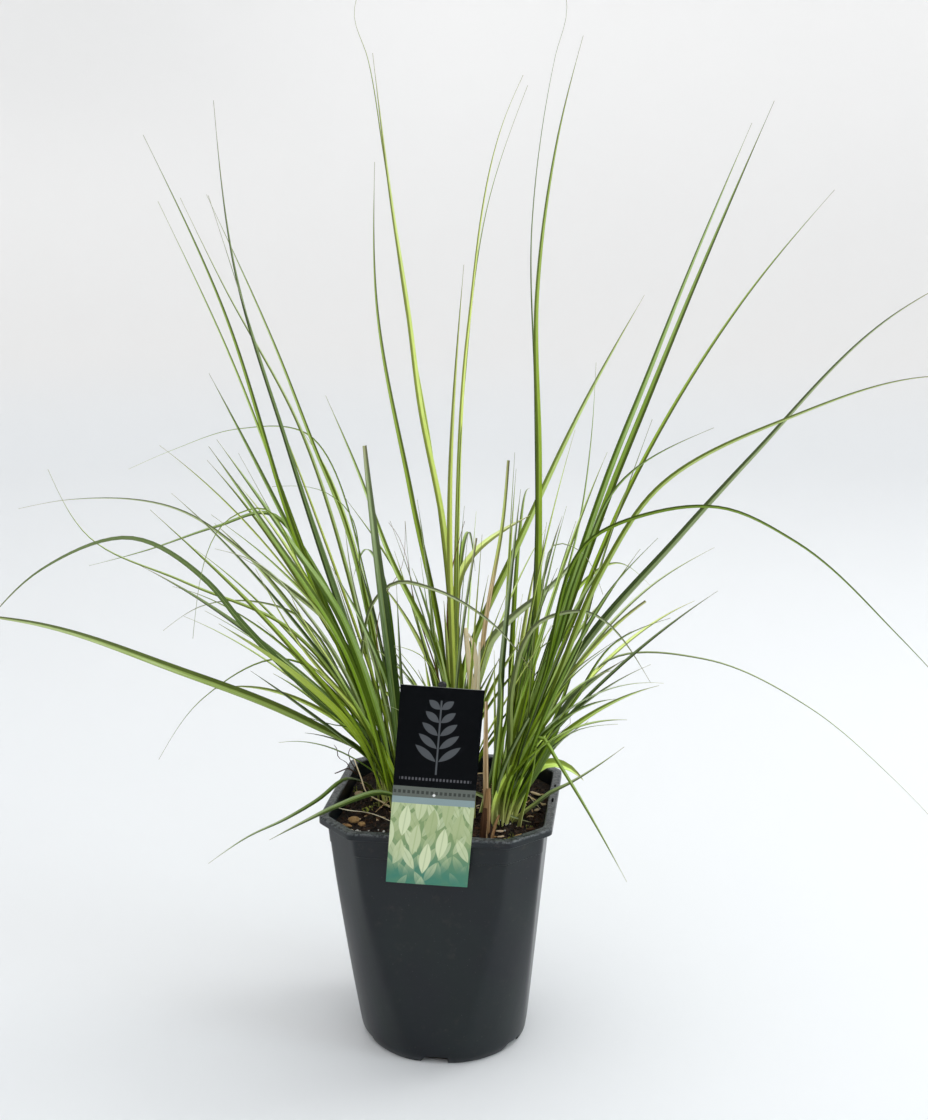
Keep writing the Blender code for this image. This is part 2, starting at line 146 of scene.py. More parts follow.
# Leaves: each midrib lies in its own upright plane. `root` is where it leaves the soil (x, y), `heading` is
# the way it leans along that plane, in degrees from +X to +Y, and `path` is the midrib in it as (out, up)
# points from the root. `turn` is how far the blade is rolled about its midrib, in degrees. The rest is what
# sets a leaf apart from others of its finish: `tone` is below nought for a deeper green and above it for a
# greyer one, `taper` is over 2 for a leaf that stays wide and under 1.5 for one with a long fine tip, `shade`
# runs from dark to pale, and `slim` makes it narrower than its solid.
Leaf = namedtuple("Leaf", "root heading path width turn finish cut tone taper shade slim name")

FRESH = "leaf_fresh"
DARK = "leaf_dark"
PALE = "leaf_pale"
DEAD = "leaf_dead"
# Further looks that only fine blades have.
GREY = "grey"
REDDISH = "reddish"
TAN = "tan"
BROWN = "brown"


def leaf(root, heading, path, width, turn, finish=FRESH, cut=False, **own):
    unset = {"tone": None, "taper": None, "shade": None, "slim": 1.0, "name": "wisp"}
    return Leaf(root, heading, ((0, 0),) + path, width, turn, finish, cut, **{**unset, **own})


def numbered(kind, leaves):
    """The leaves of a tuft, named in order as their solids are."""
    return tuple(blade._replace(name=f"{kind}_{number:02d}") for number, blade in enumerate(leaves, 1))


LEFT_TUFT = numbered("left_leaf", (
    leaf((-39, 23), 176, ((26, 79), (54, 157), (82, 240), (115, 333), (165, 447)), 3.2, -60, tone=-0.4),
    leaf((-37, 16), 200, ((18, 54), (76, 216), (124, 382), (170, 488)), 4.4, -88, tone=-0.5, taper=1.4),
    leaf((-37, 28), 160, ((16, 73), (37, 165), (76, 282), (137, 389), (169, 450)), 3.2, -70, tone=0.5),
    leaf((-34, 11), 208, ((11, 51), (42, 141), (86, 283), (120, 405), (130, 509)),
         4.2, -95, DARK, tone=0.2, taper=1.3),
    leaf((-33, 30), 145, ((24, 106), (56, 213), (80, 259), (118, 337), (184, 452)), 3.8, -75, tone=-0.4),
    leaf((-40, 19), 186, ((17, 31), (63, 63), (160, 109), (258, 147), (327, 158)),
         6.8, -66, DARK, tone=0.35, taper=2.0, shade=0.3),
    leaf((-38, 9), 206, ((23, 50), (63, 93), (120, 160), (140, 188), (195, 226), (251, 211), (303, 162)),
         5.8, -80, DARK, tone=0.0, taper=1.1),
    leaf((-38, 35), 164, ((17, 62), (45, 121), (100, 165), (175, 213), (269, 217), (317, 207)),
         3.6, -60, tone=0.9, taper=1.1),
    leaf((-40, 13), 190, ((25, 68), (77, 141), (150, 179), (217, 217), (240, 264)),
         3.0, -70, tone=0.3, taper=1.3),
    leaf((-37, 42), 152, ((28, 78), (68, 160), (114, 207), (165, 192), (240, 164), (303, 144)),
         3.8, -64, tone=-0.8),
    leaf((-35, 39), 140, ((29, 146), (95, 269), (175, 266), (257, 241), (320, 217)), 2.2, -60, slim=0.6),
    leaf((-36, 5), 212, ((20, 82), (48, 157), (89, 220), (137, 291)), 7.4, -96, tone=-0.8),
    leaf((-39, -4), 236, ((51, 133), (135, 242), (186, 301)), 4.2, 50, tone=-0.7, taper=3.0),
    leaf((-38, 0), 200, ((20, 49), (82, 140), (173, 242)), 4.2, -80, tone=0.2),
    leaf((-34, -2), 222, ((29, 83), (87, 200), (121, 248), (139, 246), (175, 168)), 2.0, -90, tone=-0.3),
    leaf((-46, 26), 172, ((19, 57), (74, 145), (141, 146), (173, 125)), 2.2, -60, tone=0.6),
    leaf((-43, 23), 184, ((22, 53), (44, 95), (76, 112), (139, 83), (175, 34)), 2.0, -64, taper=1.2),
    leaf((-45, 2), 222, ((26, 60), (79, 119), (143, 170)), 5.6, -90, PALE, tone=0.0, shade=0.65),
    leaf((-25, -8), 210, ((23, 19), (60, 17), (92, 9), (116, 2)), 4.8, -45, tone=-0.8, shade=0.0),
    leaf((-57, 41), 240, ((22, 14), (36, 20), (76, 17), (116, 17), (162, 20), (201, 17)),
         3.2, -35, tone=-0.8, shade=0.1),
    leaf((-32, 3), 236, ((7, 67), (22, 160), (40, 281)), 9.4, 38, DARK, True, tone=-1.0, slim=0.9),
    leaf((-36, 57), 104, ((16, 84), (62, 150), (126, 160), (190, 118)), 4.2, 0),
    leaf((-43, 51), 122, ((17, 92), (53, 178), (101, 236), (145, 262)), 4.0, -20),
))

MIDDLE_TUFT = numbered("middle_leaf", (
    leaf((5, 42), 140, ((3, 150), (20, 262), (43, 362), (66, 484), (80, 549), (93, 583), (83, 605)),
         2.2, -60, tone=0.2, shade=0.75),
    leaf((7, 30), 205, ((1, 107), (9, 211), (28, 307), (36, 368), (49, 451), (61, 545)),
         5.0, -95, tone=0.1, shade=0.85),
    leaf((1, 36), 170, ((3, 112), (26, 232), (52, 384), (52, 475)), 4.4, -70, tone=0.25),
    leaf((11, 37), 35, ((-3, 193), (7, 356), (42, 511), (56, 536)), 3.9, 60, PALE, tone=0.1, taper=1.3),
    leaf((12, 17), 350, ((-8, 249), (2, 404)), 4.8, 90, PALE, tone=0.2),
    leaf((18, 26), 195, ((22, 106), (61, 193), (85, 261), (106, 312)), 5.2, -82, tone=-0.4),
    leaf((13, 49), 25, ((-2, 73), (6, 181), (59, 211)), 6.4, 60, PALE, tone=0.15, taper=4.5),
    leaf((20, 34), 345, ((11, 132), (25, 220), (28, 260)), 4.0, 92, PALE, True, tone=0.25),
    leaf((4, 11), 330, ((6, 100), (22, 207)), 2.6, -60, DARK, True),
    leaf((1, 48), 38, ((21, 98), (71, 180), (148, 298), (206, 373)), 5.6, 60, tone=0.3),
    leaf((22, 22), 320, ((-1, 67), (-8, 132)), 6.0, -50, DEAD, True),
    leaf((6, 56), 84, ((18, 96), (70, 164), (142, 170), (206, 120)), 4.4, 0),
))

RIGHT_TUFT = numbered("right_leaf", (
    leaf((52, 21), 40, ((15, 88), (21, 189), (18, 309), (13, 431), (34, 546), (45, 580), (40, 600)),
         2.2, 60, DARK, tone=0.1, taper=0.9),
    leaf((56, 11), 55, ((23, 142), (23, 263), (17, 379), (42, 488), (77, 563)),
         5.0, 50, tone=0.2, taper=1.5),
    leaf((38, -9), 35, ((27, 67), (70, 169), (109, 257), (139, 315), (182, 400), (241, 508)),
         5.2, 60, tone=-0.8),
    leaf((40, -13), 350, ((20, 63), (44, 142), (79, 252), (100, 309), (129, 387), (178, 511)),
         5.6, 70, tone=-0.65),
    leaf((42, 0), 25, ((49, 114), (114, 250), (201, 371), (286, 457)), 3.8, 60, tone=-0.3),
    leaf((47, -13), 8, ((49, 118), (126, 209), (177, 265), (281, 368), (335, 398)),
         5.8, 55, DARK, tone=0.3, taper=1.3),
    leaf((44, -16), 336, ((37, 101), (74, 198), (108, 254), (195, 309), (295, 341), (314, 340)),
         4.6, 80, tone=0.3, taper=1.4),
    leaf((43, -29), 338, ((30, 114), (67, 222), (99, 238), (154, 247), (202, 228), (272, 170), (323, 119)),
         3.6, 72, tone=-0.7, taper=1.0),
    leaf((51, -6), 358, ((33, 66), (70, 117), (140, 118), (219, 81), (284, 26), (343, -36)),
         2.2, 66, tone=1.0, taper=0.9, slim=0.75),
    leaf((45, -34), 318, ((51, 127), (86, 190), (124, 233)), 3.2, 100, tone=-0.9),
    leaf((51, -2), 35, ((64, 102), (130, 148), (205, 173)), 3.0, 45, tone=0.7),
    leaf((46, -21), 335, ((51, 98), (81, 146), (120, 168)), 2.4, 84, tone=-0.7),
    leaf((41, -24), 352, ((16, 61), (36, 122), (56, 195), (81, 254), (145, 295)), 3.2, 76, tone=-0.9),
    leaf((47, 30), 50, ((29, 43), (69, 140), (96, 205), (107, 261), (111, 325)), 2.2, 50, tone=-0.6),
    leaf((54, -35), 310, ((15, 48), (22, 76), (40, 61), (71, 33), (109, -5)), 3.0, 45, PALE, shade=0.6),
    leaf((49, -28), 20, ((23, 13), (29, 17), (44, 22), (92, 46)), 2.6, 48, DARK),
    leaf((50, -23), 18, ((4, 10), (12, 32), (26, 41), (44, 35), (57, 23)),
         7.6, 60, PALE, tone=0.1, taper=4.5, shade=0.6),
    leaf((50, 46), 82, ((16, 92), (60, 168), (118, 206), (176, 204)), 4.2, 0),
    leaf((60, 35), 52, ((23, 78), (67, 142), (129, 158), (187, 128)), 4.0, 36),
    leaf((30, -46), 286, ((2, 14), (4, 34)), 6.6, 0, DEAD, True, tone=-0.15),
))




# Thin blades and wisps that stand out from the tufts.
WISPS = (
    leaf((3, 30), 195, ((1, 83), (13, 120), (47, 191), (79, 239)), 3.4, -82),
    leaf((4, 22), 200, ((8, 103), (20, 143), (47, 221)), 1.8, -85, DARK),
    leaf((6, 40), 190, ((18, 97), (29, 145), (36, 214)), 1.4, -80, DARK),
    leaf((-36, 4), -14, ((-17, 43), (-25, 129), (-16, 160), (-1, 174), (29, 171), (66, 153), (110, 103)),
         3.8, 60, GREY),
    leaf((38, -26), 352, ((10, 56), (11, 102), (32, 154), (57, 162), (110, 111)), 5.4, 70, GREY, taper=1.1),
    leaf((38, -8), 340, ((19, 51), (33, 167), (47, 212), (57, 210), (79, 177)), 1.8, 80),
    leaf((46, -24), 345, ((23, 45), (49, 100), (84, 130)), 8.4, 84, DARK),
    leaf((52, -14), 0, ((19, 36), (41, 63), (76, 70)), 1.6, 70, DARK),
    leaf((26, -14), 30, ((12, 33), (19, 118), (34, 243)), 4.8, 50, DARK),
    leaf((-40, 20), 172, ((8, 62), (22, 164), (36, 229), (47, 237), (89, 241)), 1.6, -66),
    leaf((-44, 8), 195, ((11, 60), (43, 144), (83, 193), (125, 230)), 3.2, -80),
    leaf((-50, 2), 190, ((12, 74), (49, 149), (91, 195), (116, 204)), 3.2, -76),
    leaf((-26, 0), 200, ((6, 86), (10, 176)), 3.2, -85, DARK),
    leaf((12, 37), 35, ((-4, 153), (3, 319), (26, 451), (60, 529)), 1.6, 50),
    leaf((-38, 9), 208, ((26, 110), (75, 264), (116, 398), (132, 449)), 1.8, -95, DARK),
    leaf((44, 2), 20, ((30, 41), (85, 200), (118, 289)), 2.6, 55),
    leaf((-38, 24), 186, ((18, 42), (31, 56), (45, 59), (86, 75)), 1.2, -60, DARK),
    leaf((-37, 12), 196, ((9, 34), (23, 64), (71, 129), (103, 190)), 3.0, -80, PALE),
    leaf((-36, 16), 192, ((14, 41), (39, 95), (96, 182)), 2.8, -80, DARK),
    leaf((-34, 8), 200, ((22, 54), (46, 104), (79, 165), (84, 178)), 3.2, -85, PALE),
    leaf((-36, 26), 180, ((33, 93), (54, 141), (82, 167), (118, 190)), 2.8, -70),
    leaf((-34, 22), 186, ((37, 95), (44, 108), (67, 139)), 2.0, -75, DARK),
    leaf((-32, 6), 205, ((1, 36), (5, 72), (29, 141), (55, 192)), 4.4, -90),
    leaf((-34, 14), 200, ((4, 41), (38, 192), (41, 222)), 3.6, -85),
    leaf((-32, 20), 196, ((4, 39), (22, 147), (39, 209)), 3.4, -85, DARK),
    leaf((-35, 2), 204, ((2, 19), (24, 65), (37, 84), (76, 129)), 4.6, -85, PALE),
    leaf((-34, -2), 210, ((2, 18), (11, 38), (67, 142)), 4.8, -85),
    leaf((20, 27), 18, ((5, 91), (13, 116), (39, 142), (56, 153), (99, 197), (108, 210)), 7.4, 70, GREY),
    leaf((6, 28), 200, ((9, 85), (31, 160), (38, 197), (44, 211), (50, 219)), 1.4, -85, REDDISH),
    leaf((6, 36), 205, ((52, 169), (43, 181), (39, 205), (39, 218)), 1.2, -85, REDDISH),
    leaf((4, 30), 195, ((3, 75), (15, 132), (23, 190)), 2.2, -85),
    leaf((2, 24), 200, ((8, 94), (19, 113), (49, 127)), 2.0, -60, PALE),
    leaf((2, 18), 205, ((20, 78), (37, 107), (51, 124)), 3.0, -80, DARK),
    leaf((2, 20), 200, ((19, 116),), 5.6, -85, PALE),
    leaf((10, 24), 190, ((11, 157),), 5.0, -88, PALE),
    leaf((14, 16), 190, ((-7, 63), (-9, 114), (-6, 128), (-3, 133), (-2, 127)), 5.2, -88, DEAD, True),
    leaf((22, 16), 190, ((-4, 125),), 3.0, -88, DEAD, True),
    leaf((10, 26), 10, ((-5, 77), (-5, 179), (5, 217)), 2.4, 75, REDDISH),
    leaf((30, -32), 90, ((3, 44), (4, 92)), 4.4, -10, TAN, True),
    leaf((36, -30), 60, ((0, 34), (6, 55), (11, 92), (6, 124)), 3.2, 20),
    leaf((38, -26), 40, ((1, 35), (4, 56), (15, 91), (19, 136)), 3.6, 40),
    leaf((40, -34), 20, ((-3, 10), (-1, 32), (6, 50), (31, 95), (43, 122)), 3.2, 60, DARK),
    leaf((42, -36), 15, ((4, 31), (11, 47), (54, 123), (65, 146)), 3.4, 65),
    leaf((42, -20), 10, ((21, 59), (36, 87), (49, 103), (73, 123), (90, 133)), 1.8, 60),
    leaf((42, -14), 10, ((26, 66), (41, 92), (55, 110), (74, 124), (98, 138)), 2.0, 60),
    leaf((48, -20), 10, ((3, 21), (11, 43), (20, 57), (39, 65), (46, 72), (45, 78)), 0.8, 60, REDDISH),
    leaf((37, -38), 50, ((-3, 5), (0, 19), (23, 45), (29, 55)), 5.0, 30, PALE),
    leaf((40, -30), 40, ((5, 23), (32, 79)), 5.4, 45, PALE),
    leaf((22, -20), 340, ((3, 20), (11, 11), (21, 6), (44, 1)), 4.0, 35, DARK),
    leaf((27, -62), 60, ((1, 11), (4, 23)), 5.6, 10, BROWN, True),
    leaf((29, -61), 80, ((1, 11), (3, 21)), 2.4, 10, TAN, True),
    leaf((33, -66), 60, ((3, 8), (12, 17)), 2.6, 10, TAN, True),
)

# Short blades that fill the tufts: where they grow, the fan of directions that they lean in, how far they
# lean, how long they are and their shades from dark to pale.
Tuft = namedtuple("Tuft", "name centre spread fan lean length shades count seed")
OUTER_SHADES = (0.0, 0.3, 0.5, 0.6, 0.9)
INNER_SHADES = (0.3, 0.6, 0.9, 1.0)

TUFTS = (
    Tuft("left", (-37, 22), (6, 22), (112, 204), (18, 50), (110, 320), OUTER_SHADES, 26, 11),
    Tuft("middle", (7, 28), (11, 16), (0, 360), (2, 32), (100, 235), INNER_SHADES, 33, 9),
    Tuft("right", (42, -12), (8, 20), (-60, 90), (8, 40), (110, 270), OUTER_SHADES, 38, 31),
)
# The width of a short blade or dead sheath, how far it droops in degrees, and the share that are cut off.
Sizes = namedtuple("Sizes", "width droop cut")

BLADE_SIZES = Sizes((2.2, 5.4), (0, 45), 0.05)
SHEATH_SIZES = Sizes((2.4, 5.5), (-5, 30), 0.6)
SHEATH_LENGTH = (14, 46)
SHEATH_LEAN = (0, 30)
SHEATHS_PER_TUFT = 9
ROOT_DEPTH = 3.0
# Short blades keep this far from the pot's wall, the card, the stake and the box's front and back.
RIM_CLEARANCE = 8.0
CARD_CLEARANCE = 14.0
STAKE_CLEARANCE = 8.0
BOX_CLEARANCE = 4.0

# Straw, twigs and dead bits on the root ball: how wide each one is, half its thickness, its tone from dark
# to pale, and the points that it follows.
Strand = namedtuple("Strand", "width thickness tone points")

STRANDS = (
    Strand(5.2, 0.4, 0.55, ((-42, -4, 181), (-46, -4, 184), (-59, -4, 192), (-63, -4, 204), (-68, -4, 219))),
    Strand(1.3, 0.5, 0.9, ((-88, -14, 187), (-74, -17, 184), (-58, -20, 183), (-41, -33, 182))),
    Strand(1.3, 0.5, 0.9, ((55, 46, 184), (62, 14, 185), (71, -16, 184))),
    Strand(1.3, 0.5, 0.4, ((57, 30, 184), (64, 6, 185), (74, -8, 184))),
    Strand(1.0, 0.5, -1.0, ((-67, 8, 202), (-75, 8, 207), (-79, 8, 205), (-84, 8, 203))),
    Strand(0.8, 0.4, -1.0, ((-72, 8, 206), (-75, 8, 212), (-81, 8, 216), (-82, 8, 223), (-84, 8, 226))),
    Strand(0.8, 0.4, -1.0, ((-57, 12, 181), (-67, 14, 202), (-73, 14, 213), (-73, 14, 220), (-70, 14, 222))),
    Strand(0.9, 0.4, 0.0, ((-52, -19, 183), (-46, -12, 186), (-38, 4, 184))),
    Strand(3.4, 0.5, 0.6, ((46, -18, 181), (52, -17, 187), (56, -17, 194))),
    Strand(1.4, 0.5, -0.3, ((-20, 60, 182), (4, 66, 184), (26, 58, 182))),
    Strand(1.1, 0.4, 0.5, ((-14, -30, 182), (6, -42, 184), (20, -36, 182))),
    Strand(1.2, 0.4, 0.8, ((-4, -6, 182), (14, -14, 183), (26, -4, 182))),
    Strand(1.0, 0.4, 0.3, ((34, 62, 182), (20, 48, 184), (24, 34, 182))),
)

STRAND_POINTS = 18

# Chips that lie by themselves on the root ball: where (x, y), how long, wide and thick, which way they point
# and their tone.
Chip = namedtuple("Chip", "place size heading tone")

CHIPS = (
    Chip((70, 22), (11.0, 3.0, 1.6), -44, 1.0),
    Chip((75, 4), (5.0, 3.0, 1.6), 20, 0.95),
    Chip((62, 8), (11.0, 2.6, 1.6), -80, 0.95),
    Chip((57, 30), (8.0, 2.4, 1.4), 70, 0.85),
    Chip((69, -10), (4.4, 3.0, 1.8), 10, 1.0),
    Chip((63, -39), (8.0, 3.2, 2.2), 30, 0.10),
    Chip((53, -8), (7.0, 4.0, 2.6), -60, 0.35),
    Chip((41, -45), (9.0, 2.2, 1.4), 10, 1.0),
    Chip((40, -53), (6.0, 2.0, 1.4), 4, 0.95),
    Chip((-72, -39), (9.0, 4.0, 2.0), -30, 0.45),
    Chip((75, 20), (4.6, 1.8, 1.0), 24, 0.70),
    Chip((-67, 27), (9.0, 6.0, 3.0), 50, 0.85),
    Chip((-68, -24), (9.4, 7.4, 5.0), 20, 0.55),
    Chip((-62, -29), (7.0, 6.0, 4.2), 70, 0.50),
    Chip((-58, -38), (7.0, 3.0, 2.0), 15, -0.20),
    Chip((-50, -22), (6.4, 2.6, 1.6), 120, 0.05),
    Chip((-74, -2), (6.0, 3.6, 2.0), 80, -0.10),
    Chip((56, -36), (7.4, 2.8, 1.6), 62, 0.10),
    Chip((68, -28), (5.0, 3.0, 1.6), 15, -0.05),
    Chip((22, 66), (9.0, 3.0, 1.8), 160, 0.20),
    Chip((-12, 52), (8.0, 3.4, 2.2), 30, 0.35),
    Chip((-20, -48), (9.6, 3.2, 1.8), -25, 0.60),
    Chip((10, -60), (7.0, 3.6, 2.0), 70, 0.25),
    Chip((12, -24), (9.0, 3.0, 1.6), 110, 0.40),
)

# Heaps of small grains: where, how far they spread, how many and how big.
Heap = namedtuple("Heap", "place spread count size")

MOSS = (
    Heap((44, -61), 4.0, 46, 1.5),
    Heap((38, -64), 2.6, 22, 1.2),
    Heap((48, -53), 3.0, 14, 1.0),
    Heap((-58, -9), 4.5, 34, 1.5),
    Heap((-68, 30), 5.5, 40, 1.4),
    Heap((-52, 2), 5.0, 26, 1.2),
    Heap((-10, 66), 6.0, 30, 1.3),
    Heap((62, -34), 3.5, 16, 1.0),
)
PERLITE = (
    Heap((-64, -46), 5.0, 7, 2.0),
    Heap((-51, -48), 7.0, 6, 1.6),
    Heap((60, 28), 18.0, 12, 1.5),
    Heap((46, -34), 14.0, 8, 1.3),
    Heap((0, 0), 60.0, 9, 1.4),
)
# What is strewn over the whole root ball: how many, the least and most of each side, the tilt in radians and
# the tones.
Strewn = namedtuple("Strewn", "count sizes tilt tones")

CRUMBS = Strewn(2600, ((0.8, 3.0), (0.8, 2.4), (0.7, 1.8)), 3.0, (-1.6, 0.1))
BARK = Strewn(300, ((2.5, 9.0), (1.0, 2.4), (0.6, 1.3)), 0.35, (-0.9, 1.0))
CHIP_TILT = 0.15
LITTER_SEED = 7

# How a blade's width runs from its sheath to its tip.
SHEATH_HEIGHT = 60.0
SHEATH_HALF_WIDTH = 2.1
SHEATH_HALF_DEPTH = 1.3
BLADE_HALF_DEPTH = 0.22
# A sheath is at most this share of its blade's length, and its half width at least this share of its width.
SHEATH_MOST = 0.6
SHEATH_SHARE = 0.42
WIDEST = 0.3
FOOT_SHARE = 0.75
TAPER = 1.75
CUT_WIDTH = 0.55
WIDE_CUT = 6.0
TIP_WIDTH = 0.3
# How thick a blade is at its tip, as a share of its thickness where it is widest.
TIP_DEPTH = 0.45
BLADE_SIDES = 8
STATION_SPACING = 7.0


# ---------------------------------------------------------------------------------------------------------
# Node graphs
# ---------------------------------------------------------------------------------------------------------


def node_sum(operation, swapped=False, second=None):
    """A method that adds a Math node: `swapped` puts the other number first, and `second` is a fixed one."""

    def method(value, other=second):
        pair = (other, value) if swapped else (value, other)
        return value.graph.maths(operation, *pair)

    return method


class Value:
    """An output of a node. Sums written on it add Math nodes to its graph."""

    def __init__(self, graph, socket):
        self.graph = graph
        self.socket = socket

    __add__, __radd__ = node_sum("ADD"), node_sum("ADD", swapped=True)
    __sub__, __rsub__ = node_sum("SUBTRACT"), node_sum("SUBTRACT", swapped=True)
    __mul__, __rmul__ = node_sum("MULTIPLY"), node_sum("MULTIPLY", swapped=True)
    __truediv__, __rtruediv__ = node_sum("DIVIDE"), node_sum("DIVIDE", swapped=True)
    __pow__ = node_sum("POWER")
    __mod__ = node_sum("FLOORED_MODULO")
    __gt__ = node_sum("GREATER_THAN")
    __neg__ = node_sum("MULTIPLY", second=-1.0)
    __abs__ = node_sum("ABSOLUTE", second=0.0)


class Graph:
    """A material's or a Geometry Nodes tree, with one method that adds a node."""

    def __init__(self, tree):
        self.tree = tree

    def node(self, kind, settings=None, sockets=None, out=0):
        made = self.tree.nodes.new(kind)
        for name, setting in (settings or {}).items():
            if name == "stops":
                self._set_stops(made.color_ramp, setting)
            else:
                setattr(made, name, setting)
        for name, value in (sockets or {}).items():
            self._feed(made.inputs[name], value)
        return Value(self, made.outputs[out])

    def _set_stops(self, ramp, stops):
        while len(ramp.elements) < len(stops):
            ramp.elements.new(0.5)
        for element, (place, colour) in zip(ramp.elements, stops):
            element.position = place
            element.color = (*colour, 1.0)

    def _feed(self, socket, value):
        if isinstance(value, Value):
            self.tree.links.new(value.socket, socket)
        elif socket.type == "RGBA":
            socket.default_value = (*value[:3], 1.0)
        else:
            socket.default_value = value

    # Sums that have no operator.

    def maths(self, operation, *values):
        return self.node("ShaderNodeMath", {"operation": operation}, dict(enumerate(values)))

    def least(self, a, b):
        return self.maths("MINIMUM", a, b)

    def most(self, a, b):
        return self.maths("MAXIMUM", a, b)

    def clamp(self, value, low=0.0, high=1.0):
        return self.node("ShaderNodeClamp", None, {"Value": value, "Min": low, "Max": high})

    def ease(self, value, start, end):
        """0 before start, 1 after end, and smooth between them."""
        settings = {"interpolation_type": "SMOOTHSTEP"}
        return self.node("ShaderNodeMapRange", settings, {0: value, 1: start, 2: end, 3: 0.0, 4: 1.0})

    def choose(self, factor, a, b):
        """A number between a and b."""
        return self.node("ShaderNodeMix", {"data_type": "FLOAT"}, {0: factor, 2: a, 3: b})

    def blend(self, factor, a, b, way="MIX"):
        """A colour between a and b."""
        settings = {"data_type": "RGBA", "blend_type": way}
        return self.node("ShaderNodeMix", settings, {0: factor, 6: a, 7: b}, out=2)

    # Vectors.

    def vector(self, x, y, z):
        return self.node("ShaderNodeCombineXYZ", None, {0: x, 1: y, 2: z})

    def parts(self, vector):
        split = self.node("ShaderNodeSeparateXYZ", None, {0: vector})
        return split, Value(self, split.socket.node.outputs[1]), Value(self, split.socket.node.outputs[2])

    def vector_sum(self, operation, *values):
        return self.node("ShaderNodeVectorMath", {"operation": operation}, dict(enumerate(values)))

    def scaled(self, vector, factor):
        return self.node("ShaderNodeVectorMath", {"operation": "SCALE"}, {0: vector, "Scale": factor})

    # Patterns.

    def noise(self, vector, scale, detail=2.0, roughness=0.5, distortion=0.0):
        sockets = {"Vector": vector, "Scale": scale, "Detail": detail, "Roughness": roughness}
        return self.node("ShaderNodeTexNoise", None, {**sockets, "Distortion": distortion})

    def ramp(self, value, *stops):
        return self.node("ShaderNodeValToRGB", {"stops": stops}, {0: value})


class Finish(Graph):
    """A material whose Principled BSDF is fed by the node sums of its graph."""

    def __init__(self, name, **constants):
        self.material = bpy.data.materials.new(name)
        self.material.use_nodes = True
        super().__init__(self.material.node_tree)
        self.shader = self.tree.nodes["Principled BSDF"]
        self.set(**constants)

    def set(self, **values):
        for socket, value in values.items():
            self._feed(self.shader.inputs[socket.replace("_", " ")], value)

    def place(self):
        """Object coordinates in millimetres."""
        found = self.node("ShaderNodeTexCoord", None, None, out=3)
        return self.scaled(found, 1000.0)

    def readings(self, *names):
        """The numbers that the mesh stores under these names."""
        return [self.node("ShaderNodeAttribute", {"attribute_name": name}, out="Fac") for name in names]

    def uv(self):
        return self.node("ShaderNodeUVMap", {"uv_map": "UVMap"})

    def bump(self, height, distance, strength=1.0, normal=None):
        sockets = {"Height": height, "Distance": distance, "Strength": strength}
        if normal:
            sockets["Normal"] = normal
        return self.node("ShaderNodeBump", None, sockets)


class Growth(Graph):
    """A Geometry Nodes group with named inputs."""

    def __init__(self, name, inputs):
        group = bpy.data.node_groups.new(name, "GeometryNodeTree")
        super().__init__(group)
        group.interface.new_socket("Geometry", in_out="INPUT", socket_type="NodeSocketGeometry")
        for label, kind in inputs.items():
            group.interface.new_socket(label, in_out="INPUT", socket_type="NodeSocket" + kind)
        group.interface.new_socket("Geometry", in_out="OUTPUT", socket_type="NodeSocketGeometry")
        self.source = group.nodes.new("NodeGroupInput")
        self.result = group.nodes.new("NodeGroupOutput")

    def given(self, label):
        return Value(self, self.source.outputs[label])

    def stored(self, name, kind="FLOAT"):
        return self.node("GeometryNodeInputNamedAttribute", {"data_type": kind}, {"Name": name})

    def store(self, geometry, name, value, kind="FLOAT"):
        settings = {"data_type": kind, "domain": "POINT"}
        return self.node("GeometryNodeStoreNamedAttribute", settings, {0: geometry, 2: name, 3: value})

    def forget(self, geometry, name):
        return self.node("GeometryNodeRemoveAttribute", None, {0: geometry, "Name": name})

    def finish(self, geometry):
        real = self.node("GeometryNodeRealizeInstances", None, {0: geometry})
        dressed = self.node("GeometryNodeSetMaterial", None, {0: real, 2: self.given("Material")})
        self.tree.links.new(dressed.socket, self.result.inputs[0])
        return self.tree


def grow(name, source, group, **inputs):
    """The plain mesh that a node group makes of the source mesh."""
    carrier = add_object(name, source)
    modifier = carrier.modifiers.new(group.name, "NODES")
    modifier.node_group = group
    for item in group.interface.items_tree:
        label = item.name.replace(" ", "_").lower()
        if item.in_out == "INPUT" and label in inputs:
            modifier[item.identifier] = inputs[label]
    depsgraph = bpy.context.evaluated_depsgraph_get()
    shape = carrier.evaluated_get(depsgraph)
    mesh = bpy.data.meshes.new_from_object(shape, preserve_all_data_layers=True, depsgraph=depsgraph)
    mesh.name = name
    bpy.data.objects.remove(carrier, do_unlink=True)
    return mesh


# ---------------------------------------------------------------------------------------------------------
# Meshes
# ---------------------------------------------------------------------------------------------------------


def mesh_of(name, points, faces, edges=()):
    mesh = bpy.data.meshes.new(name)
    mesh.from_pydata([tuple(float(c) * MM for c in p) for p in points], list(edges), list(faces))
    mesh.update()
    return mesh


def closed_mesh(name, rings):
    """A closed body through rings of as many points, with a face on each end and its faces outwards."""
    count = len(rings[0])
    points = [tuple(p) for ring in rings for p in ring]
    faces = []
    for row in range(len(rings) - 1):
        low, high = row * count, (row + 1) * count
        faces += [(low + i, low + (i + 1) % count, high + (i + 1) % count, high + i) for i in range(count)]
    faces.append(tuple(reversed(range(count))))
    faces.append(tuple(range(len(points) - count, len(points))))
    mesh = mesh_of(name, points, faces)
    shape = bmesh.new()
    shape.from_mesh(mesh)
    bmesh.ops.recalc_face_normals(shape, faces=shape.faces)
    shape.to_mesh(mesh)
    shape.free()
    return mesh


def add_object(name, data):
    made = bpy.data.objects.new(name, data)
    bpy.context.scene.collection.objects.link(made)
    return made


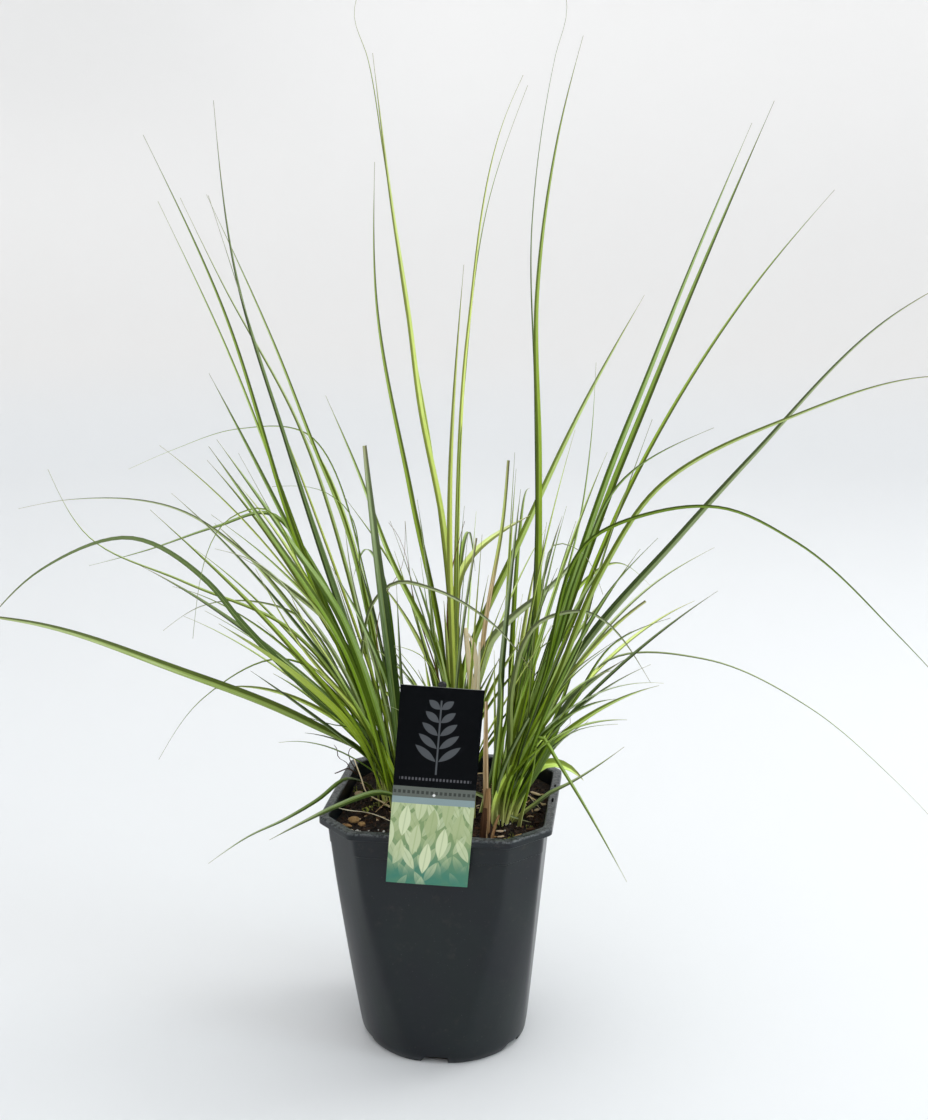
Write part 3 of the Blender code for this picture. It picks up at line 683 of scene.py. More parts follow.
def add_piece(name, mesh, slot, *nodes, materials=()):
    """A finished piece: it rides on the part's one body and stands for the nodes that are named."""
    piece = add_object(name, mesh)
    for material in materials:
        mesh.materials.append(material)
    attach(piece, "root")
    if nodes:
        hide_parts(*nodes)
    return piece


def settings():
    return bpy.context.scene.potted_grass


# ---------------------------------------------------------------------------------------------------------
# The pot
# ---------------------------------------------------------------------------------------------------------


def soft_least(values, blend):
    """The least of several radii, with the creases where they meet rounded over about `blend`."""
    stack = np.stack(values)
    low = stack.min(axis=0)
    return low - blend * np.log(np.exp(-(stack - low) / blend).sum(axis=0))


def corner_reach(half_across):
    return (2 * half_across - RIM_CORNER_CUT) / math.sqrt(2)


def octagon_radii(angles, flat, corner):
    """Distances to the planes of the four flats and the four cut corners, in each direction."""
    reach = []
    for side in range(8):
        off = np.cos(angles - math.radians(POT_TURN) - side * math.pi / 4)
        plane = corner if side % 2 else flat
        reach.append(np.where(off > 0.3, plane / np.maximum(off, 0.3), 1e3))
    return reach


def wall_radius(angles, height):
    below = POT_HEIGHT - height
    flat = RIM_ACROSS_FLATS / 2 - FLANGE_OVERHANG
    corner = corner_reach(RIM_ACROSS_FLATS / 2) - FLANGE_OVERHANG
    step = STEP_SIZE if below > STEP_BELOW_RIM else 0.0
    cone = np.full_like(angles, CONE_RADIUS_AT_GROUND + CONE_SLOPE * height)
    planes = octagon_radii(angles, flat - FLAT_DRAFT * below, corner - CORNER_DRAFT * below)
    radius = soft_least([*planes, cone], CREASE_ROUND)
    foot = max(0.0, 1 - height / FOOT_ROUND)
    return radius - step - (CONE_RADIUS_AT_GROUND - FOOT_RADIUS) * foot**2


def flange_radius(angles, inset):
    half = RIM_ACROSS_FLATS / 2
    return soft_least(octagon_radii(angles, half - inset, corner_reach(half) - inset), CREASE_ROUND)


def pot_ring(radius, height, angles):
    return np.stack([radius * np.cos(angles), radius * np.sin(angles), np.full_like(angles, height)], axis=1)


def pot_rings(angles):
    """Rings from the underside's middle up the outside, over the lip and down the inside."""
    step = POT_HEIGHT - STEP_BELOW_RIM
    under = POT_HEIGHT - FLANGE_DEPTH
    foot = wall_radius(angles, 0.0)
    rings = [pot_ring(foot * share, 0.0, angles) for share in UNDERSIDE_SHARES]
    high = list(np.linspace(12.0, step - 2.5, WALL_STATIONS))
    heights = [*FOOT_STATIONS, *high, *(step + off for off in STEP_STATIONS), under - 3.0, under - 0.6]
    rings += [pot_ring(wall_radius(angles, z), z, angles) for z in heights]
    wall = wall_radius(angles, under)
    outside = flange_radius(angles, 0.0)
    lip = [(wall + 0.35, under - 0.1), (outside - 0.5, under), (outside - 0.1, under + 0.35)]
    lip.append((outside, under + 1.0))
    for sixth in range(6):
        turn = math.radians(18 * sixth)
        inset, drop = LIP_ROUND * (1 - math.cos(turn)), LIP_ROUND * (1 - math.sin(turn))
        lip.append((outside - inset, POT_HEIGHT - drop))
    inside = wall - WALL
    lip += [(inside + 1.1, POT_HEIGHT - 0.25), (inside + 0.2, POT_HEIGHT - 1.1), (inside, POT_HEIGHT - 2.5)]
    rings += [pot_ring(radius, z, angles) for radius, z in lip]
    inner = [under, step + 4.0, step - 1.0, *high[::-3], FOOT_ROUND, FLOOR]
    rings += [pot_ring(wall_radius(angles, z) - WALL, z, angles) for z in inner]
    rings.append(pot_ring(wall_radius(angles, FLOOR) * UNDERSIDE_SHARES[0], FLOOR, angles))
    return rings


def notch_cutter(index):
    """A drain notch through the foot: upright on one side and slanted on the other."""
    middle = math.radians(POT_TURN - 90 + index * 360 / NOTCHES)
    half = NOTCH_WIDTH / 2
    low, top = -NOTCH_HEIGHT / 2, NOTCH_HEIGHT
    outline = ((-half, low), (half, low), (half, top), (NOTCH_SLANT - half, top), (-half, 0))
    rings = []
    for reach in (FOOT_RADIUS - NOTCH_REACH, FOOT_RADIUS + NOTCH_REACH):
        ring = []
        for along, up in outline:
            x = reach * math.cos(middle) - along * math.sin(middle)
            y = reach * math.sin(middle) + along * math.cos(middle)
            ring.append((x, y, up))
        rings.append(ring)
    return rings


def slot_cutter(place, length):
    """A round-ended slot through the flange of the right-hand flat."""
    turn = Matrix.Rotation(math.radians(POT_TURN), 3, "Z")
    outward = RIM_ACROSS_FLATS / 2 - SLOT_INSET
    rings = []
    for z in (POT_HEIGHT - FLANGE_DEPTH * 0.7, POT_HEIGHT + 2.0):
        ring = []
        for step in range(SLOT_SIDES):
            angle = math.tau * (step + 0.5) / SLOT_SIDES
            along = place + math.copysign(length / 2 - SLOT_WIDTH / 2, math.sin(angle))
            point = (outward + SLOT_WIDTH / 2 * math.cos(angle), along + SLOT_WIDTH / 2 * math.sin(angle), z)
            ring.append(turn @ Vector(point))
        rings.append(ring)
    return rings


def pot_plastic():
    """Dark satin plastic with a fine moulded grain, dust, pale specks, and scuffs with a painted highlight on
    the lip.
    """
    own = settings()
    finish = Finish("pot_plastic", Specular_IOR_Level=0.33, IOR=1.47)
    place = finish.place()
    x, y, z = finish.parts(place)
    broad = finish.noise(place, 0.018, 3.0, 0.55)
    drawn = finish.noise(finish.vector(x, y, z * 0.12), 0.07, 4.0, 0.6)
    fine = finish.noise(place, 1.6, 3.0, 0.6)
    dust = finish.ease(finish.noise(place, 0.9, 2.0, 0.7), 0.70, 0.78)
    high = finish.ease(z, 150.0, 190.0)
    dirt = finish.ease(finish.noise(place, 0.11, 4.0, 0.7), 0.56, 0.74) * (0.25 + high * 0.6)
    tone = finish.blend(finish.ease(broad, 0.35, 0.65), own.pot_colour, own.pot_green_colour)
    tone = finish.blend(dirt * 0.35, tone, (0.10, 0.085, 0.07))
    tone = finish.blend(dust * 0.30, tone, (0.36, 0.36, 0.35))
    # The top of the lip is lightened in patches: partly scuffs, partly a painted highlight along the rolled
    # lip.
    lip_scuff_and_highlight = finish.ease(z, 188.6, 190.6) * finish.ease(finish.noise(place, 0.5, 4.0, 0.75), 0.40, 0.62)
    tone = finish.blend(lip_scuff_and_highlight * 0.75, tone, (0.135, 0.150, 0.155))
    rough = own.pot_roughness + (drawn - 0.5) * 0.10 + dirt * 0.22 + (fine - 0.5) * 0.05
    finish.set(Base_Color=tone, Roughness=rough)
    relief = finish.bump(fine, 0.00004, 0.5, finish.bump(drawn, 0.0004, 0.35))
    finish.set(Normal=relief)
    return finish.material


class GRASSPOT_OT_pot(bpy.types.Operator):
    """Make the nursery pot, with its drain notches and flange slots cut"""

    bl_idname = "grasspot.pot"
    bl_label = "Pot"

    def execute(self, context):
        angles = np.linspace(0, math.tau, POT_POINTS_ROUND, endpoint=False)
        shell = add_object("pot_shell", closed_mesh("pot_shell", pot_rings(angles)))
        cuts = [notch_cutter(index) for index in range(NOTCHES)]
        cuts += [slot_cutter(place, length) for place, length in FLANGE_SLOTS]
        cutters = []
        for number, rings in enumerate(cuts):
            cutter = add_object(f"pot_cut_{number}", closed_mesh(f"pot_cut_{number}", rings))
            cutters.append(cutter)
            modifier = shell.modifiers.new(cutter.name, "BOOLEAN")
            modifier.operation = "DIFFERENCE"
            modifier.solver = "EXACT"
            modifier.object = cutter
        depsgraph = context.evaluated_depsgraph_get()
        cut = bpy.data.meshes.new_from_object(shell.evaluated_get(depsgraph), depsgraph=depsgraph)
        for spare in [shell, *cutters]:
            bpy.data.objects.remove(spare, do_unlink=True)
        cut.shade_smooth()
        cut.set_sharp_from_angle(angle=math.radians(34))
        add_piece("nursery_pot", cut, "pot_plastic", "pot", materials=[pot_plastic()])
        return {"FINISHED"}


# ---------------------------------------------------------------------------------------------------------
# The root ball
# ---------------------------------------------------------------------------------------------------------


def soil_height(x, y):
    """The root ball's lumpy top, in millimetres above the ground."""
    wide = math.sin(x / 9.0 + 1.3) * math.cos(y / 11.0)
    slanted = 0.6 * math.sin((x + y) / 6.5)
    fine = 0.4 * math.cos(x / 4.0)
    return SOIL_TOP + SOIL_LUMP * (wide + slanted + fine - 0.5)


def soil_point(x, y, share):
    """A point of the crumbly top, which is rougher away from the wall."""
    grain = noise.fractal(Vector((x / 5.0, y / 5.0, 3.7)), 1.0, 2.0, 4)
    lift = SOIL_GRAIN * grain * min(1.0, (1.02 - share) * 12)
    return x, y, soil_height(x, y) + lift


def peat():
    """Moist dark peat with fibres and specks of bark."""
    finish = Finish("peat", Specular_IOR_Level=0.35)
    place = finish.place()
    coarse = finish.noise(place, 0.16, 5.0, 0.65)
    fine = finish.noise(place, 0.9, 6.0, 0.7)
    speck = finish.ease(finish.noise(place, 0.55, 2.0, 0.6, 1.5), 0.62, 0.70)
    darks = ((0.40, (0.003, 0.0018, 0.0010)), (0.55, (0.018, 0.009, 0.004)))
    tone = finish.ramp(coarse, *darks, (0.78, (0.075, 0.033, 0.014)))
    tone = finish.blend(speck * 0.7, tone, (0.17, 0.085, 0.038))
    tone = finish.blend(0.55, tone, finish.blend(fine, (0.3, 0.3, 0.3), (1.5, 1.4, 1.3)), "MULTIPLY")
    finish.set(Base_Color=tone, Roughness=0.72 + fine * 0.25)
    finish.set(Normal=finish.bump(fine + coarse * 2.0, 0.0012, 0.9))
    return finish.material


def grain_growth():
    """Sets an uneven lump on each point, with the size and turn that the point carries."""
    inputs = {"Unevenness": "Float", "Fineness": "Float", "Rounds": "Int", "Material": "Material"}
    tree = Growth("Grains", inputs)
    dots = tree.node("GeometryNodeMeshToPoints", None, {0: tree.given("Geometry"), "Radius": MM})
    sockets = {"Radius": 0.5, "Subdivisions": tree.given("Rounds")}
    lump = tree.node("GeometryNodeMeshIcoSphere", None, sockets)
    turn = tree.node("FunctionNodeEulerToRotation", None, {0: tree.stored("turn", "FLOAT_VECTOR")})
    sockets = {0: dots, 2: lump, 5: turn, 6: tree.stored("size", "FLOAT_VECTOR")}
    lumps = tree.node("GeometryNodeInstanceOnPoints", None, sockets)
    lumps = tree.node("GeometryNodeRealizeInstances", None, {0: lumps})
    place = tree.node("GeometryNodeInputPosition")
    sockets = {"Vector": place, "Scale": tree.given("Fineness"), "Detail": 2.0}
    push = tree.node("ShaderNodeTexNoise", None, sockets, out=1)
    push = tree.vector_sum("SUBTRACT", push, (0.5, 0.5, 0.5))
    push = tree.scaled(push, tree.given("Unevenness"))
    lumps = tree.node("GeometryNodeSetPosition", None, {0: lumps, 3: push})
    for spare in ("size", "turn"):
        lumps = tree.forget(lumps, spare)
    return tree.finish(tree.node("GeometryNodeSetShadeSmooth", None, {0: lumps}))


Grain = namedtuple("Grain", "place size turn tone")


def on_soil(x, y, margin):
    """Whether a place on the root ball is this far inside its edge."""
    angle = np.array([math.atan2(y, x)])
    return math.hypot(x, y) < wall_radius(angle, SOIL_TOP)[0] - WALL - SOIL_CLEARANCE - margin


def grain_at(x, y, size, turn, tone, bury=0.3):
    radius = wall_radius(np.array([math.atan2(y, x)]), SOIL_TOP)[0]
    _, _, ground = soil_point(x, y, math.hypot(x, y) / radius)
    return Grain((x, y, ground + size[2] * (0.5 - bury)), size, turn, tone)


def scattered(kind, chance):
    """Grains strewn over the whole root ball."""
    grains = []
    while len(grains) < kind.count:
        angle, reach = chance.uniform(0, math.tau), RIM_ACROSS_FLATS / 2 * math.sqrt(chance.random())
        x, y = reach * math.cos(angle), reach * math.sin(angle)
        size = [chance.uniform(*limits) for limits in kind.sizes]
        tilt = [chance.uniform(-kind.tilt, kind.tilt) for _ in range(2)]
        turn = (*tilt, chance.uniform(0, math.tau))
        tone = chance.uniform(*kind.tones)
        if on_soil(x, y, max(size) / 2 + 0.5):
            grains.append(grain_at(x, y, size, turn, tone))
    return grains


def heaped(heaps, chance):
    """Grains in loose heaps."""
    grains = []
    for heap in heaps:
        for _ in range(heap.count):
            angle, reach = chance.uniform(0, math.tau), heap.spread * chance.random() ** 0.7
            x, y = heap.place[0] + reach * math.cos(angle), heap.place[1] + reach * math.sin(angle)
            size = [heap.size * chance.uniform(0.5, 1.1) for _ in range(3)]
            turn = [chance.uniform(0, math.tau) for _ in range(3)]
            if on_soil(x, y, max(size) / 2 + 0.5):
                grains.append(grain_at(x, y, size, turn, chance.uniform(-1, 1), -0.1 * chance.random()))
    return grains


def grain_mesh(name, grains):
    mesh = mesh_of(name, [grain.place for grain in grains], [])
    sizes = [c * MM for grain in grains for c in grain.size]
    turns = [c for grain in grains for c in grain.turn]
    mesh.attributes.new("size", "FLOAT_VECTOR", "POINT").data.foreach_set("vector", sizes)
    mesh.attributes.new("turn", "FLOAT_VECTOR", "POINT").data.foreach_set("vector", turns)
    mesh.attributes.new("tone", "FLOAT", "POINT").data.foreach_set("value", [grain.tone for grain in grains])
    return mesh


def grain_piece(name, grains, material, rounds=1, unevenness=0.9):
    growth = bpy.data.node_groups.get("Grains") or grain_growth()
    sizes = {"unevenness": unevenness * MM, "fineness": 420.0, "rounds": rounds, "material": material}
    return add_piece(name, grow(name, grain_mesh(name + "_points", grains), growth, **sizes), "soil")


def bark():
    """Bits of bark and wood, from near black through red-brown to bare cream wood."""
    finish = Finish("bark", Specular_IOR_Level=0.3)
    place = finish.place()
    tone = finish.readings("tone")[0] + (finish.noise(place, 0.7, 4.0, 0.7) - 0.5) * 0.7
    browns = ((-1.0, (0.006, 0.003, 0.002)), (-0.1, (0.032, 0.014, 0.007)), (0.3, (0.13, 0.062, 0.026)))
    creams = ((0.6, (0.42, 0.26, 0.105)), (1.0, (0.74, 0.58, 0.40)))
    stops = [(0.5 + 0.5 * at, colour) for at, colour in browns + creams]
    finish.set(Base_Color=finish.ramp(tone * 0.5 + 0.5, *stops), Roughness=0.82)
    finish.set(Normal=finish.bump(finish.noise(place, 1.6, 4.0, 0.7), 0.0006, 0.8))
    return finish.material


def speckled(name, dark, pale, roughness):
    """A plain grain or moss whose tone differs from grain to grain."""
    finish = Finish(name, Specular_IOR_Level=0.3, Roughness=roughness)
    place = finish.place()
    share = finish.readings("tone")[0] * 0.35 + finish.noise(place, 1.1, 3.0, 0.6)
    finish.set(Base_Color=finish.blend(finish.clamp(share), dark, pale))
    finish.set(Normal=finish.bump(finish.noise(place, 2.4, 3.0, 0.6), 0.0004, 0.6))
    return finish.material


class GRASSPOT_OT_litter(bpy.types.Operator):
    """Strew crumbs, bark, perlite and moss over the root ball, and lay the straw and the twigs"""

    bl_idname = "grasspot.litter"
    bl_label = "Litter on the root ball"

    def execute(self, context):
        chance = random.Random(LITTER_SEED)
        brown = bark()
        grain_piece("soil_crumbs", scattered(CRUMBS, chance), brown)
        chips = scattered(BARK, chance)
        for chip in CHIPS:
            tilt = [chance.uniform(-CHIP_TILT, CHIP_TILT) for _ in range(2)]
            turn = (*tilt, math.radians(chip.heading))
            chips.append(grain_at(*chip.place, chip.size, turn, chip.tone, 0.1))
        grain_piece("bark_chips", chips, brown, rounds=2, unevenness=0.8)
        white = speckled("perlite", (0.42, 0.41, 0.38), (0.85, 0.84, 0.80), 0.85)
        grain_piece("perlite_grains", heaped(PERLITE, chance), white, rounds=2, unevenness=0.6)
        green = speckled("moss", (0.10, 0.12, 0.015), (0.42, 0.46, 0.09), 0.8)
        grain_piece("moss_cushions", heaped(MOSS, chance), green, unevenness=1.0)
        for number, strand in enumerate(STRANDS):
            knots = [tuple(point) for point in smooth_path(strand.points, STRAND_POINTS)]
            heading = 90 if number % 2 else 0
            rib = Rib(knots, heading, strand.width, 20, strand.tone, 1.0, (1, 1), 1.0, TAPER)
            sizes = {"sheath_height": 0.5 * MM, "sheath_width": strand.width * 0.4 * MM, "fold": 0.1}
            sizes["sheath_depth"] = sizes["thickness"] = strand.thickness * MM
            blade_piece(f"straw_{number + 1:02d}", [rib], DEAD, spacing=3 * MM, twist=0.1, **sizes)
        return {"FINISHED"}


class GRASSPOT_OT_soil(bpy.types.Operator):
    """Make the root ball that fills the pot"""

    bl_idname = "grasspot.soil"
    bl_label = "Root ball"

    def execute(self, context):
        angles = np.linspace(0, math.tau, SOIL_POINTS_ROUND, endpoint=False)
        inset = WALL + SOIL_CLEARANCE
        sides = [FLOOR + 0.3, *SOIL_STATIONS]
        rings = [pot_ring(wall_radius(angles, z) - inset, z, angles) for z in sides]
        edge = wall_radius(angles, SOIL_TOP) - inset
        for share in np.linspace(1.0, 0.012, SOIL_RINGS):
            ring = [(r * math.cos(a) * share, r * math.sin(a) * share) for r, a in zip(edge, angles)]
            rings.append([soil_point(x, y, share) for x, y in ring])
        mesh = closed_mesh("soil", rings)
        mesh.shade_smooth()
        add_piece("root_ball", mesh, "soil", "soil", materials=[peat()])
        return {"FINISHED"}


# ---------------------------------------------------------------------------------------------------------
# Leaves
# ---------------------------------------------------------------------------------------------------------


def smooth_path(path, count):
    """Evenly spaced points on a smooth curve through the path's own points."""
    knots = np.array(path, float)
    spans = np.linalg.norm(np.diff(knots, axis=0), axis=1)
    stops = np.concatenate([[0], np.cumsum(spans)])
    slopes = np.diff(knots, axis=0) / spans[:, None]
    tangents = np.tile(slopes[0], (len(knots), 1))
    before, after = spans[:-1, None], spans[1:, None]
    tangents[1:-1] = (slopes[:-1] * after + slopes[1:] * before) / (before + after)
    tangents[0] = 1.5 * slopes[0] - 0.5 * tangents[1]
    tangents[-1] = 1.5 * slopes[-1] - 0.5 * tangents[-2]
    points = []
    for at in np.linspace(0, stops[-1], count):
        i = min(int(np.searchsorted(stops, at, side="right")) - 1, len(spans) - 1)
        span = spans[i]
        t = (at - stops[i]) / span
        start = (1 + 2 * t) * (1 - t) ** 2 * knots[i] + t * (1 - t) ** 2 * span * tangents[i]
        end = t**2 * (3 - 2 * t) * knots[i + 1] - t**2 * (1 - t) * span * tangents[i + 1]
        points.append(start + end)
    return np.array(points)


Rib = namedtuple("Rib", "points heading width turn tone shade dry cut taper")

# A look's shade from dark to pale, how dry its foot and its tip are, and its range of tones. On a fresh blade
# a high tone is greyer, and on a dry one it is paler. A pale blade that was cut off is dry at its foot.
Look = namedtuple("Look", "shade dry tones")

LOOKS = {
    DARK: Look(0.0, (0.0, 0.0), (-1.0, 1.0)),
    FRESH: Look(0.5, (0.0, 0.0), (-1.0, 1.0)),
    PALE: Look(1.0, (0.0, 0.0), (-1.0, 0.4)),
    DEAD: Look(1.0, (1.0, 1.0), (0.3, 0.9)),
    GREY: Look(0.6, (0.0, 0.0), (0.8, 1.0)),
    REDDISH: Look(0.5, (0.9, 0.6), (-0.6, -0.4)),
    TAN: Look(1.0, (1.0, 0.9), (-0.2, 0.3)),
    BROWN: Look(0.5, (1.0, 1.0), (-0.7, -0.4)),
}
DRY_FOOT = Look(1.0, (1.5, 0.0), (0.2, 0.3))


def own_or(own, usual):
    """A leaf's own setting, or the usual one where the leaf has none."""
    return usual if own is None else own


def leaf_rib(blade, chance):
    """A leaf's midrib in space, with a slight sway out of its own plane."""
    length = float(np.linalg.norm(np.diff(np.array(blade.path, float), axis=0), axis=1).sum())
    count = max(6, round(length / STATION_SPACING))
    path = smooth_path(blade.path, count)
    heading = math.radians(blade.heading)
    foot = Vector((*blade.root, soil_height(*blade.root) + ROOT_CLEARANCE))
    sway = chance.uniform(-1.0, 1.0) * min(2.5, length / 160)
    waves = chance.uniform(0.8, 1.6)
    points = []
    for index, (reach, rise) in enumerate(path):
        share = index / (count - 1)
        side = sway * math.sin(math.pi * waves * share) * share
        x = foot.x + reach * math.cos(heading) - side * math.sin(heading)
        y = foot.y + reach * math.sin(heading) + side * math.cos(heading)
        points.append((x, y, foot.z + rise))
    points[0] = (points[0][0], points[0][1], points[0][2] - ROOT_DEPTH)
    look = DRY_FOOT if blade.cut and blade.finish == PALE else LOOKS[blade.finish]
    tone = own_or(blade.tone, chance.uniform(*look.tones))
    taper = own_or(blade.taper, TAPER + chance.uniform(-0.3, 0.3))
    cut = min(1.0, WIDE_CUT / blade.width) if blade.cut else 0.0
    width, shade = blade.width * blade.slim, own_or(blade.shade, look.shade)
    return Rib(points, blade.heading, width, blade.turn, tone, shade, look.dry, cut, taper)


def clear_of_pot(points):
    """Whether a blade stays off the pot, the label and its stake, and between the box's front and back."""
    head, foot = Vector(STAKE_HEAD), Vector(STAKE_FOOT)
    wall = RIM_ACROSS_FLATS / 2 - FLANGE_OVERHANG - RIM_CLEARANCE
    near, far = (corner[1] / MM for corner in CAD_BOX)
    for x, y, z in points:
        if z < POT_HEIGHT + 4 and math.hypot(x, y) > wall:
            return False
        beside_card = y < CARD_FOOT[1] + CARD_CLEARANCE and abs(x + 6) < CARD_WIDTH / 2 + CARD_CLEARANCE
        if beside_card and z < head.z + 12:
            return False
        stake = foot.lerp(head, min(1.0, (z - foot.z) / (head.z - foot.z)))
        if z < head.z + STAKE_CLEARANCE and math.hypot(x - stake.x, y - stake.y) < STAKE_CLEARANCE:
            return False
        if not near + BOX_CLEARANCE < y < far - BOX_CLEARANCE or z < POT_HEIGHT - 20:
            return False
    return True


def shoot(tuft, chance, sizes, dry):
    """A blade that leans out from its tuft and arches over, or None where it would touch something else."""
    angle, spread = chance.uniform(0, math.tau), math.sqrt(chance.random())
    x = tuft.centre[0] + tuft.spread[0] * spread * math.cos(angle)
    y = tuft.centre[1] + tuft.spread[1] * spread * math.sin(angle)
    heading = chance.uniform(*tuft.fan)
    aim = math.radians(heading)
    share = chance.random()
    lean = math.radians(tuft.lean[0] + (tuft.lean[1] - tuft.lean[0]) * share**0.8)
    length = chance.uniform(*tuft.length) * (1.15 - 0.3 * share)
    droop = math.radians(chance.uniform(*sizes.droop)) * (0.4 + share)
    power = chance.uniform(1.3, 2.4)
    count = max(6, round(length / STATION_SPACING))
    step = length / (count - 1)
    out, up = 0.0, soil_height(x, y) - ROOT_DEPTH
    points = []
    for index in range(count):
        points.append((x + out * math.cos(aim), y + out * math.sin(aim), up))
        at = index / (count - 1)
        bend = lean * min(1.0, 0.35 + 2.2 * at) + droop * at**power
        out += step * math.sin(bend)
        up += step * math.cos(bend)
    width = chance.uniform(*sizes.width)
    turn = chance.choice((-1, 1)) * chance.uniform(15, 90)
    shade = chance.choice(tuft.shades)
    tone = chance.uniform(-1, 0.3)
    cut = 1.0 if chance.random() < sizes.cut else 0.0
    if not clear_of_pot(points[1:]):
        return None
    taper = chance.uniform(1.5, 3.0)
    return Rib(points, heading, width, turn, tone, shade, dry, cut, taper)


def shoots(tuft, sizes, dry):
    """As many blades as the tuft has, each one clear of the pot and the label."""
    chance = random.Random(tuft.seed)
    ribs = []
    while len(ribs) < tuft.count:
        rib = shoot(tuft, chance, sizes, dry)
        if rib:
            ribs.append(rib)
    return ribs


def rib_mesh(name, ribs):
    """Midribs as chains of edges that carry each blade's own numbers."""
    points, edges = [], []
    labels = ("width", "turn", "tone", "shade", "cut", "taper", "out_x", "out_y")
    values = {label: [] for label in (*labels, "dry")}
    for rib in ribs:
        start = len(points)
        points += rib.points
        edges += [(i, i + 1) for i in range(start, len(points) - 1)]
        count = len(rib.points)
        heading = math.radians(rib.heading)
        fixed = (rib.width * MM, math.radians(rib.turn), rib.tone, rib.shade, rib.cut, rib.taper)
        for label, value in zip(labels, (*fixed, math.cos(heading), math.sin(heading))):
            values[label] += [value] * count
        values["dry"] += list(np.linspace(*rib.dry, count))
    mesh = mesh_of(name, points, [], edges)
    for label, column in values.items():
        mesh.attributes.new(label, "FLOAT", "POINT").data.foreach_set("value", column)
    return mesh


def blade_growth():
    """Sweeps a thin folded section along midribs: a rounded sheath, then a blade with a fine tip."""
    lengths = ("Spacing", "Sheath Height", "Sheath Width", "Sheath Depth", "Thickness", "Fold", "Twist")
    inputs = {label: "Float" for label in lengths}
    tree = Growth("Blade", {**inputs, "Sides": "Int", "Material": "Material"})
    curve = tree.node("GeometryNodeMeshToCurve", None, {0: tree.given("Geometry")})
    spaced = {0: curve, "Length": tree.given("Spacing")}
    spaced = tree.node("GeometryNodeResampleCurve", {"mode": "LENGTH"}, spaced)
    share = tree.node("GeometryNodeSplineParameter")
    reach = Value(tree, share.socket.node.outputs[1])
    length = reach / tree.most(share, 0.001)
    tangent = tree.node("GeometryNodeInputTangent")
    width, turn, tone, cut = (tree.stored(name) for name in ("width", "turn", "tone", "cut"))
    side = tree.vector(-tree.stored("out_y"), tree.stored("out_x"), 0.0)
    ramp = tree.least(share / WIDEST, 1.0)
    twist = tree.given("Twist") * tree.maths("SINE", share * 5.0 + tone * 3.1) * share
    roll = turn * ramp + twist
    upper = tree.vector_sum("NORMALIZE", tree.vector_sum("CROSS_PRODUCT", tangent, side))
    level = tree.scaled(side, tree.maths("COSINE", roll))
    across = tree.vector_sum("ADD", level, tree.scaled(upper, tree.maths("SINE", roll)))
    face = tree.vector_sum("NORMALIZE", tree.vector_sum("CROSS_PRODUCT", tangent, across))
    # Half the blade's width: widest near a third of its length, then a long fine tip, or a blunt cut end.
    opening = FOOT_SHARE + (1 - FOOT_SHARE) * ramp
    past = tree.clamp((share - WIDEST) / (1 - WIDEST)) ** tree.stored("taper")
    taper = tree.most(1 - past * (1 - CUT_WIDTH * cut), TIP_WIDTH * MM / width)
    shape = opening * taper
    rim = tree.least(tree.given("Sheath Height"), length * SHEATH_MOST)
    sheath = tree.clamp(1 - reach / rim)
    foot_width = tree.most(tree.given("Sheath Width"), width * SHEATH_SHARE)
    half_width = tree.choose(sheath, width * 0.5 * shape, foot_width)
    blade_depth = tree.given("Thickness") * (TIP_DEPTH + (1 - TIP_DEPTH) * shape)
    half_depth = tree.choose(sheath, blade_depth, tree.given("Sheath Depth"))
    keel = half_width * tree.given("Fold") * (1 - sheath)
    line = tree.store(spaced, "along", share)
    line = tree.store(line, "reach", reach * 1000)
    arms = {
        "rib": tree.node("GeometryNodeInputPosition"),
        "across_arm": tree.scaled(across, half_width),
        "fold_arm": tree.scaled(face, keel),
        "depth_arm": tree.scaled(face, half_depth),
    }
    for name, arm in arms.items():
        line = tree.store(line, name, arm, "FLOAT_VECTOR")
    sockets = {0: tree.given("Sides"), 4: 1.0}
    ring = tree.node("GeometryNodeCurvePrimitiveCircle", {"mode": "RADIUS"}, sockets)
    x, y, _ = tree.parts(tree.node("GeometryNodeInputPosition"))
    ring = tree.store(ring, "across", x)
    ring = tree.store(ring, "depth", y)
    swept = tree.node("GeometryNodeCurveToMesh", None, {0: line, 1: ring, "Fill Caps": True})
    u, v = tree.stored("across"), tree.stored("depth")
    arm_names = tuple(arms)
    place, *arms = (tree.stored(name, "FLOAT_VECTOR") for name in arm_names)
    for arm, amount in zip(arms, (u, abs(u), v)):
        place = tree.vector_sum("ADD", place, tree.scaled(arm, amount))
    shaped = tree.node("GeometryNodeSetPosition", None, {0: swept, 2: place})
    for spare in (*arm_names, "out_x", "out_y", "width", "turn", "cut", "taper"):
        shaped = tree.forget(shaped, spare)
    smooth = tree.node("GeometryNodeSetShadeSmooth", None, {0: shaped})
    return tree.finish(smooth)


